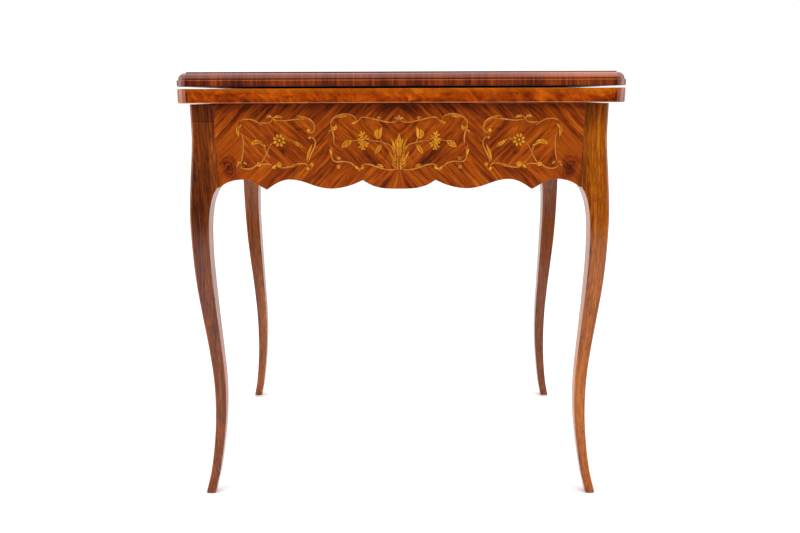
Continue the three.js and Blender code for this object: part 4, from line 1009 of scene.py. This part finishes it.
def cross_material(name, run, seed=0.0):
    M = Mat(name)
    u = M.add(M.x if run == "x" else M.y, seed)
    w = M.add(M.y if run == "x" else M.x, M.z)
    block = M.noise(M.vec(M.mul(u, 34.0), M.mul(w, 3.0), seed), 1.0, 2.0, 0.6)
    s1 = M.noise(M.vec(M.mul(u, 300.0), M.mul(w, 7.0), seed + 4.0), 1.0, 3.0, 0.65)
    s2 = M.noise(M.vec(M.mul(u, 900.0), M.mul(w, 18.0), seed + 8.0), 1.0, 2.0, 0.5)
    band = M.step(M.z, 0.7500, 0.7485)         # 1 on the flat band, 0 on the ovolo
    # the ovolo is lighter than the band, partly its own tone and partly painted light from above
    k = M.mad(band, 0.40, 0.42)
    v = M.add(M.mul(M.sub(block, 0.5), 0.55), M.mul(M.sub(s1, 0.5), 0.80), M.mul(M.sub(s2, 0.5), 0.32))
    v = M.mad(M.mul(v, k), 2.5, M.mad(band, -0.12, 0.62))
    # painted highlight on the band's top arris; painted shade in the quirk at the foot of the ovolo and on the top
    # fillet
    arris = M.mul(M.step(M.z, 0.7470, 0.7479), M.step(M.z, 0.7496, 0.7492))
    quirk = M.mul(M.step(M.z, 0.7491, 0.7494), M.step(M.z, 0.7522, 0.7506))
    v = M.add(v, M.mul(arris, 0.44), M.mul(quirk, -0.38), M.mul(M.step(M.z, 0.7602, 0.7606), -0.45))
    # painted shade along the bottom of the band, above the gap between the leaves
    v = M.sub(v, M.mul(M.step(M.z, 0.7420, 0.7388), 0.16))
    c0 = OX * MM if run == "x" else 0.0
    edge = (TX if run == "x" else TY) * MM
    cu = M.math("ABSOLUTE", M.sub(M.sub(u, seed), c0))
    joint = M.mul(M.step(cu, edge - 0.0212, edge - 0.0198), M.step(cu, edge - 0.0156, edge - 0.0168))
    v = M.sub(v, M.mul(joint, M.mad(band, 0.26, 0.06)))
    v = M.sub(v, M.mul(band, M.add(M.mul(M.step(M.sub(u, seed), -0.14, -0.26), 0.075), M.mul(M.step(M.sub(u, seed), 0.14, 0.26), 0.045))))
    # painted reflection: the ovolo lighter and pinker towards its right end
    shine = M.mul(M.step(M.mul(M.sub(u, seed), 1.0), 0.12, 0.34), M.sub(1.0, band))
    v = M.add(v, M.mul(shine, 0.20))
    col = M.ramp(v, *[(i / 4, c) for i, c in enumerate(CROSS)])
    col = M.mix(M.mul(shine, M.step(M.z, 0.7515, 0.7560), 0.42), col, (0.46, 0.20, 0.135))
    # the corner pieces are pale and pinkish, partly their own wood and partly a painted reflection
    piece = M.step(cu, edge - 0.0172, edge - 0.0155)
    col = M.mix(M.mul(piece, 0.6), col, M.mix(band, (0.19, 0.085, 0.075), (0.21, 0.095, 0.080)))
    r = M.line(s1, 0.2, 0.8, 0.12, 0.2)
    M.bump(s2, 0.00002)
    return M.finish(col, r)


burl = {"x": burl_material("finish_lipping_x", "x"), "y": burl_material("finish_lipping_y", "y")}
cross = {"x": cross_material("finish_moulding_x", "x"), "y": cross_material("finish_moulding_y", "y", 2.0)}
for side, run in (("front", "x"), ("back", "x"), ("left", "y"), ("right", "y")):
    keep("lower_lipping_" + side, burl[run], even=True)
    keep("upper_moulding_" + side, cross[run], even=True)


# ------------------------------------------------------------------ top, crossbands, inner woods
def quartered(name, palette, seed):
    def fo(M):
        x = M.math("ABSOLUTE", M.sub(M.x, OX * MM))
        y = M.math("ABSOLUTE", M.y)
        return M.mul(M.sub(x, y), 0.7071), M.mul(M.add(x, y), 0.7071), M.mul(M.z, 0.1)
    M, col, r = wood(name, fo, palette, seed, rough=(0.10, 0.18), wave=0.006, broad=(3.0, 26.0), stripe=(6.0, 130.0),
                     fine=(35.0, 700.0), pore=(120.0, 2400.0), weights=(0.5, 0.42, 0.15), contrast=1.0, pores=0.25, bump=0.00002)
    return M.finish(col, r, spec=0.36)


keep("upper_panel", quartered("finish_top", veneer_palette(), 71))


def banded(name, xin, yin, seed):
    """Cross-grained border: the grain runs out from the middle on each side."""
    M = Mat(name)
    x, y = M.sub(M.x, OX * MM), M.y
    ax, ay = M.math("ABSOLUTE", x), M.math("ABSOLUTE", y)
    side = M.math("GREATER_THAN", M.sub(ax, xin), M.sub(ay, yin))
    u = M.add(M.mul(side, y), M.mul(M.sub(1.0, side), x))
    w = M.add(M.mul(side, x), M.mul(M.sub(1.0, side), y))
    block = M.noise(M.vec(M.mul(u, 20.0), M.mul(w, 3.0), seed), 1.0, 2.0, 0.6)
    s1 = M.noise(M.vec(M.mul(u, 190.0), M.mul(w, 7.0), seed + 4.0), 1.0, 3.0, 0.6)
    s2 = M.noise(M.vec(M.mul(u, 700.0), M.mul(w, 18.0), seed + 8.0), 1.0, 2.0, 0.5)
    v = M.mad(M.sub(M.add(M.mul(block, 0.5), M.mul(s1, 0.55), M.mul(s2, 0.25)), 0.65), 2.2, 0.5)
    col = M.ramp(v, *[(i / 4, c) for i, c in enumerate(CROSS)])
    M.bump(s2, 0.00003)
    return M.finish(col, M.line(s1, 0.2, 0.8, 0.16, 0.26))


keep("lower_crossband", banded("finish_crossband_lower", 0.315, 0.193, 5.0))
keep("upper_crossband", banded("finish_crossband_upper", 0.315, 0.193, 9.0))

RAW = [(0.20, 0.105, 0.045), (0.33, 0.19, 0.085), (0.44, 0.27, 0.13), (0.52, 0.34, 0.175)]


def raw_wood(name, along, seed, darker_below=False):
    fo = {
        "x": lambda M: (M.x, M.add(M.y, M.z), M.sub(M.y, M.z)),
        "y": lambda M: (M.y, M.add(M.x, M.z), M.sub(M.x, M.z)),
        "z": lambda M: (M.z, M.add(M.x, M.y), M.sub(M.x, M.y)),
    }[along]
    M, col, r = wood(name, fo, RAW, seed, rough=(0.6, 0.78), wave=0.008, broad=(1.5, 30.0), stripe=(3.0, 120.0),
                     fine=(20.0, 900.0), pore=(60.0, 2500.0), weights=(0.4, 0.45, 0.15), contrast=1.0, pores=0.25, bump=0.00008)
    # darker and mottled on the faces that look downward
    if darker_below:
        below_mottle = M.noise(M.vec(M.mul(M.x, 55.0), M.mul(M.y, 55.0), M.mul(M.z, 55.0)), 1.0, 3.0, 0.6)
        downward_faces = M.step(M.normal()[2], -0.12, -0.40)
        col = M.mix(M.mul(downward_faces, 0.90), col, M.mix(below_mottle, (0.085, 0.028, 0.012), (0.20, 0.075, 0.030)))
    return M.finish(col, r, spec=0.3)


raw = {a: raw_wood("finish_inner_" + a, a, 80 + i) for i, a in enumerate("xyz")}
rail = {a: raw_wood("finish_rail_" + a, a, 90 + i, True) for i, a in enumerate("xy")}
for n in ("lower_core", "upper_core", "well_floor"):
    keep(n, raw["x"])
for n in ("pivot_rail", "well_divider"):
    keep(n, raw["y"], 0.0004)
for side, run in (("front", "x"), ("back", "x"), ("left", "y"), ("right", "y")):
    keep("apron_" + side, rail[run])
for n in ("glue_block_front_left", "glue_block_front_right", "glue_block_back_left", "glue_block_back_right", "stop_block"):
    keep(n, raw["z"], 0.0005)


def metal(name, base, light, rough, scale=300.0, seed=0.0):
    M = Mat(name)
    n1 = M.noise(M.vec(M.mad(M.x, 60.0, seed), M.mul(M.y, 60.0), M.mul(M.z, 60.0)), 1.0, 4.0, 0.6)
    n2 = M.noise(M.vec(M.mul(M.x, scale), M.mul(M.y, scale * 6), M.mul(M.z, scale)), 1.0, 2.0, 0.5)
    col = M.mix(n1, base, light)
    r = M.line(M.add(M.mul(n1, 0.6), M.mul(n2, 0.4)), 0.25, 0.75, rough[0], rough[1])
    M.bump(n2, 0.00002)
    return M.finish(col, r, metal=1.0)


BRASS = metal("finish_brass", (0.36, 0.205, 0.055), (0.60, 0.39, 0.13), (0.22, 0.46))
STEEL = metal("finish_steel", (0.30, 0.30, 0.31), (0.52, 0.52, 0.53), (0.25, 0.45))
for n in ("pivot_plate", "pivot_plate_screw_1", "pivot_plate_screw_2", "pivot_bolt", "pivot_washer"):
    keep(n, STEEL)
for n in NODES:
    if n.startswith("hinge_") or n in ("pivot_bush", "pivot_wing_nut"):
        keep(n, BRASS)


# ------------------------------------------------------------------ cloth
def cloth_material(name, dark, mid, light, seed):
    M = Mat(name)
    nap = M.noise(M.vec(M.mad(M.x, 1500.0, seed), M.mul(M.y, 900.0), M.mul(M.z, 1500.0)), 1.0, 3.0, 0.65)
    mott = M.noise(M.vec(M.mad(M.x, 35.0, seed), M.mul(M.y, 35.0), M.mul(M.z, 35.0)), 1.0, 4.0, 0.6)
    tw = M.math("SINE", M.mul(M.add(M.x, M.y), 5200.0))
    v = M.add(M.mul(nap, 0.55), M.mul(mott, 0.4), M.mul(tw, 0.05))
    col = M.ramp(v, (0.2, dark), (0.5, mid), (0.8, light))
    M.bump(M.add(nap, M.mul(tw, 0.15)), 0.00015)
    return M.finish(col, 0.92, sheen=0.5, sheen_rough=0.45, sheen_tint=light, spec=0.2)


def cloth(name, node, body, material, outline, z0, z1, wide, cell=12.0):
    """A thin closed sheet over an outline of grid cells: nap waves a few hundredths of a millimetre, round edges."""
    rnd = random.Random(len(name) * 7 + int(wide))
    xs = sorted({x for x, _ in outline}); ys = sorted({y for _, y in outline})

    def inside(cx, cy):
        hit = False
        k = len(outline) - 1
        for i in range(len(outline)):
            (xa, ya), (xb, yb) = outline[i], outline[k]
            if (ya > cy) != (yb > cy) and cx < (xb - xa) * (cy - ya) / (yb - ya) + xa:
                hit = not hit
            k = i
        return hit

    def cuts(v):
        out = []
        for a, b in zip(v, v[1:]):
            m = max(1, round((b - a) / cell))
            out += [a + (b - a) * i / m for i in range(m)]
        return out + [v[-1]]

    gx, gy = cuts(xs), cuts(ys)
    bm = bmesh.new()
    grid = {}

    def vert(i, j, top):
        if (i, j, top) not in grid:
            grid[(i, j, top)] = bm.verts.new((gx[i] * MM, gy[j] * MM, (z1 if top else z0) * MM))
        return grid[(i, j, top)]

    cells = [(i, j) for i in range(len(gx) - 1) for j in range(len(gy) - 1) if inside((gx[i] + gx[i + 1]) / 2, (gy[j] + gy[j + 1]) / 2)]
    have = set(cells)
    for i, j in cells:
        bm.faces.new([vert(i, j, 1), vert(i + 1, j, 1), vert(i + 1, j + 1, 1), vert(i, j + 1, 1)])
        bm.faces.new([vert(i, j + 1, 0), vert(i + 1, j + 1, 0), vert(i + 1, j, 0), vert(i, j, 0)])
        for di, dj, a, b in ((-1, 0, (i, j + 1), (i, j)), (1, 0, (i + 1, j), (i + 1, j + 1)), (0, -1, (i, j), (i + 1, j)), (0, 1, (i + 1, j + 1), (i, j + 1))):
            if (i + di, j + dj) not in have:
                bm.faces.new([vert(*a, 0), vert(*b, 0), vert(*b, 1), vert(*a, 1)])
    th = z1 - z0
    for (i, j, top), v in grid.items():
        rim = any((i + a, j + b) not in have for a in (-1, 0) for b in (-1, 0))
        d = 0.12 * th if rim else 0.05 * th * rnd.random()
        v.co.z += (-d if top else d) * MM
    bmesh.ops.recalc_face_normals(bm, faces=bm.faces)
    me = bpy.data.meshes.new(name)
    bm.to_mesh(me)
    bm.free()
    me.materials.append(material)
    me.polygons.foreach_set("use_smooth", [True] * len(me.polygons))
    ob = bpy.data.objects.new(name, me)
    bpy.context.scene.collection.objects.link(ob)
    t = ob.modifiers.new("tidy", "NODES")
    t.node_group = TIDY
    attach(ob, body)
    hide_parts(node)
    return ob


GREEN = cloth_material("cloth_baize", (0.012, 0.055, 0.022), (0.022, 0.10, 0.040), (0.045, 0.17, 0.070), 0.0)
MAROON = cloth_material("cloth_lining", (0.05, 0.010, 0.008), (0.10, 0.020, 0.016), (0.16, 0.04, 0.03), 4.0)


def rect(x0, x1, y0, y1):
    return [(x0, y0), (x1, y0), (x1, y1), (x0, y1)]


bx, byf, byb = 314.7, -192.7, 192.3
cloth("baize_lower", "lower_baize", "lower_leaf", GREEN, rect(OX - bx, OX + bx, byf, byb), 733.8, 735.0, 2 * bx)
cloth("baize_upper", "upper_baize", "upper_leaf", GREEN, rect(OX - bx, OX + bx, byf, byb), 738.5, 739.7, 2 * bx)
for word, s in (("front", -1), ("back", 1)):
    y0, y1 = sorted((s * 214.5, s * 224.5))
    cloth("felt_runner_" + word, "runner_" + word, "frame", GREEN, rect(-300, 300, y0, y1), 710.3, 711.2, 600, 5.0)
lo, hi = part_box("well_lining")
nx, ny, lx0, lx1, ly = -310.7, 191.7, lo.x / MM, hi.x / MM, hi.y / MM
cloth("felt_lining", "well_lining", "frame", MAROON,
      [(nx, -ly), (lx1, -ly), (lx1, ly), (nx, ly), (nx, ny), (lx0, ny), (lx0, -ny), (nx, -ny)], lo.z / MM, hi.z / MM,
      lx1 - lx0)


# ------------------------------------------------------------------ studio
def studio():
    m = bpy.data.materials.new("stage_floor")
    m.use_nodes = True
    b = m.node_tree.nodes["Principled BSDF"]
    b.inputs["Base Color"].default_value = (0.86, 0.86, 0.86, 1)
    b.inputs["Roughness"].default_value = 0.9
    b.inputs["Specular IOR Level"].default_value = 0.1
    me = bpy.data.meshes.new("stage_floor")
    me.from_pydata([(-4.5, -2.6, 0), (4.5, -2.6, 0), (4.5, 5, 0), (-4.5, 5, 0)], [], [(0, 1, 2, 3)])
    me.materials.append(m)
    floor = bpy.data.objects.new("stage_floor", me)
    bpy.context.scene.collection.objects.link(floor)

    w = bpy.data.worlds.new("studio")
    bpy.context.scene.world = w
    w.use_nodes = True
    t = w.node_tree
    t.nodes.clear()
    out = t.nodes.new("ShaderNodeOutputWorld")
    bg = t.nodes.new("ShaderNodeBackground")
    bg.inputs["Strength"].default_value = 1.0
    tc = t.nodes.new("ShaderNodeTexCoord")
    sep = t.nodes.new("ShaderNodeSeparateXYZ")
    ramp = t.nodes.new("ShaderNodeMapRange")
    ramp.interpolation_type = "SMOOTHSTEP"
    over = t.nodes.new("ShaderNodeMapRange")
    over.interpolation_type = "SMOOTHSTEP"
    both = t.nodes.new("ShaderNodeMath")
    lp = t.nodes.new("ShaderNodeLightPath")
    mx = t.nodes.new("ShaderNodeMath")
    mx.operation = "MAXIMUM"
    comb = t.nodes.new("ShaderNodeCombineColor")
    t.links.new(tc.outputs["Generated"], sep.inputs[0])
    t.links.new(sep.outputs["Y"], ramp.inputs[0])
    for i, v in enumerate((-0.62, -0.22, 0.04, WORLD_SIDE)):
        ramp.inputs[i + 1].default_value = v
    t.links.new(sep.outputs["Z"], over.inputs[0])
    for i, v in enumerate((0.25, 0.6, 0.0, WORLD_OVER)):
        over.inputs[i + 1].default_value = v
    t.links.new(ramp.outputs[0], both.inputs[0])
    t.links.new(over.outputs[0], both.inputs[1])
    cam = t.nodes.new("ShaderNodeMath")
    cam.operation = "MULTIPLY"
    cam.inputs[1].default_value = 1.06
    t.links.new(lp.outputs["Is Camera Ray"], cam.inputs[0])
    t.links.new(both.outputs[0], mx.inputs[0])
    t.links.new(cam.outputs[0], mx.inputs[1])
    for i in range(3):
        t.links.new(mx.outputs[0], comb.inputs[i])
    t.links.new(comb.outputs[0], bg.inputs[0])
    t.links.new(bg.outputs[0], out.inputs[0])

    def soft_box(name, where, at, sx, sy, power, color=(1, 1, 1)):
        l = bpy.data.lights.new(name, "AREA")
        l.shape, l.size, l.size_y, l.energy, l.color = "RECTANGLE", sx, sy, power, color
        o = bpy.data.objects.new(name, l)
        bpy.context.scene.collection.objects.link(o)
        o.location = where
        o.rotation_euler = (Vector(at) - Vector(where)).to_track_quat("-Z", "Y").to_euler()
        o.visible_camera = False
        return o

    soft_box("soft_top", (0.2, -1.7, 2.7), (0.0, -0.1, 0.55), 3.2, 1.3, POWER_TOP)
    soft_box("soft_right", (2.5, -1.45, 1.25), (0.3, -0.1, 0.5), 2.4, 1.9, POWER_RIGHT)
    soft_box("soft_left", (-2.5, -1.45, 1.25), (-0.3, -0.1, 0.5), 2.4, 1.9, POWER_LEFT)
    s = bpy.context.scene
    s.view_settings.view_transform = "Standard"
    s.view_settings.look = "None"
    s.view_settings.exposure = 0.0
    s.view_settings.gamma = 1.0


WORLD_SIDE, WORLD_OVER = 0.67, 1.05
POWER_TOP, POWER_RIGHT, POWER_LEFT = 5.0, 42.0, 42.0
studio()
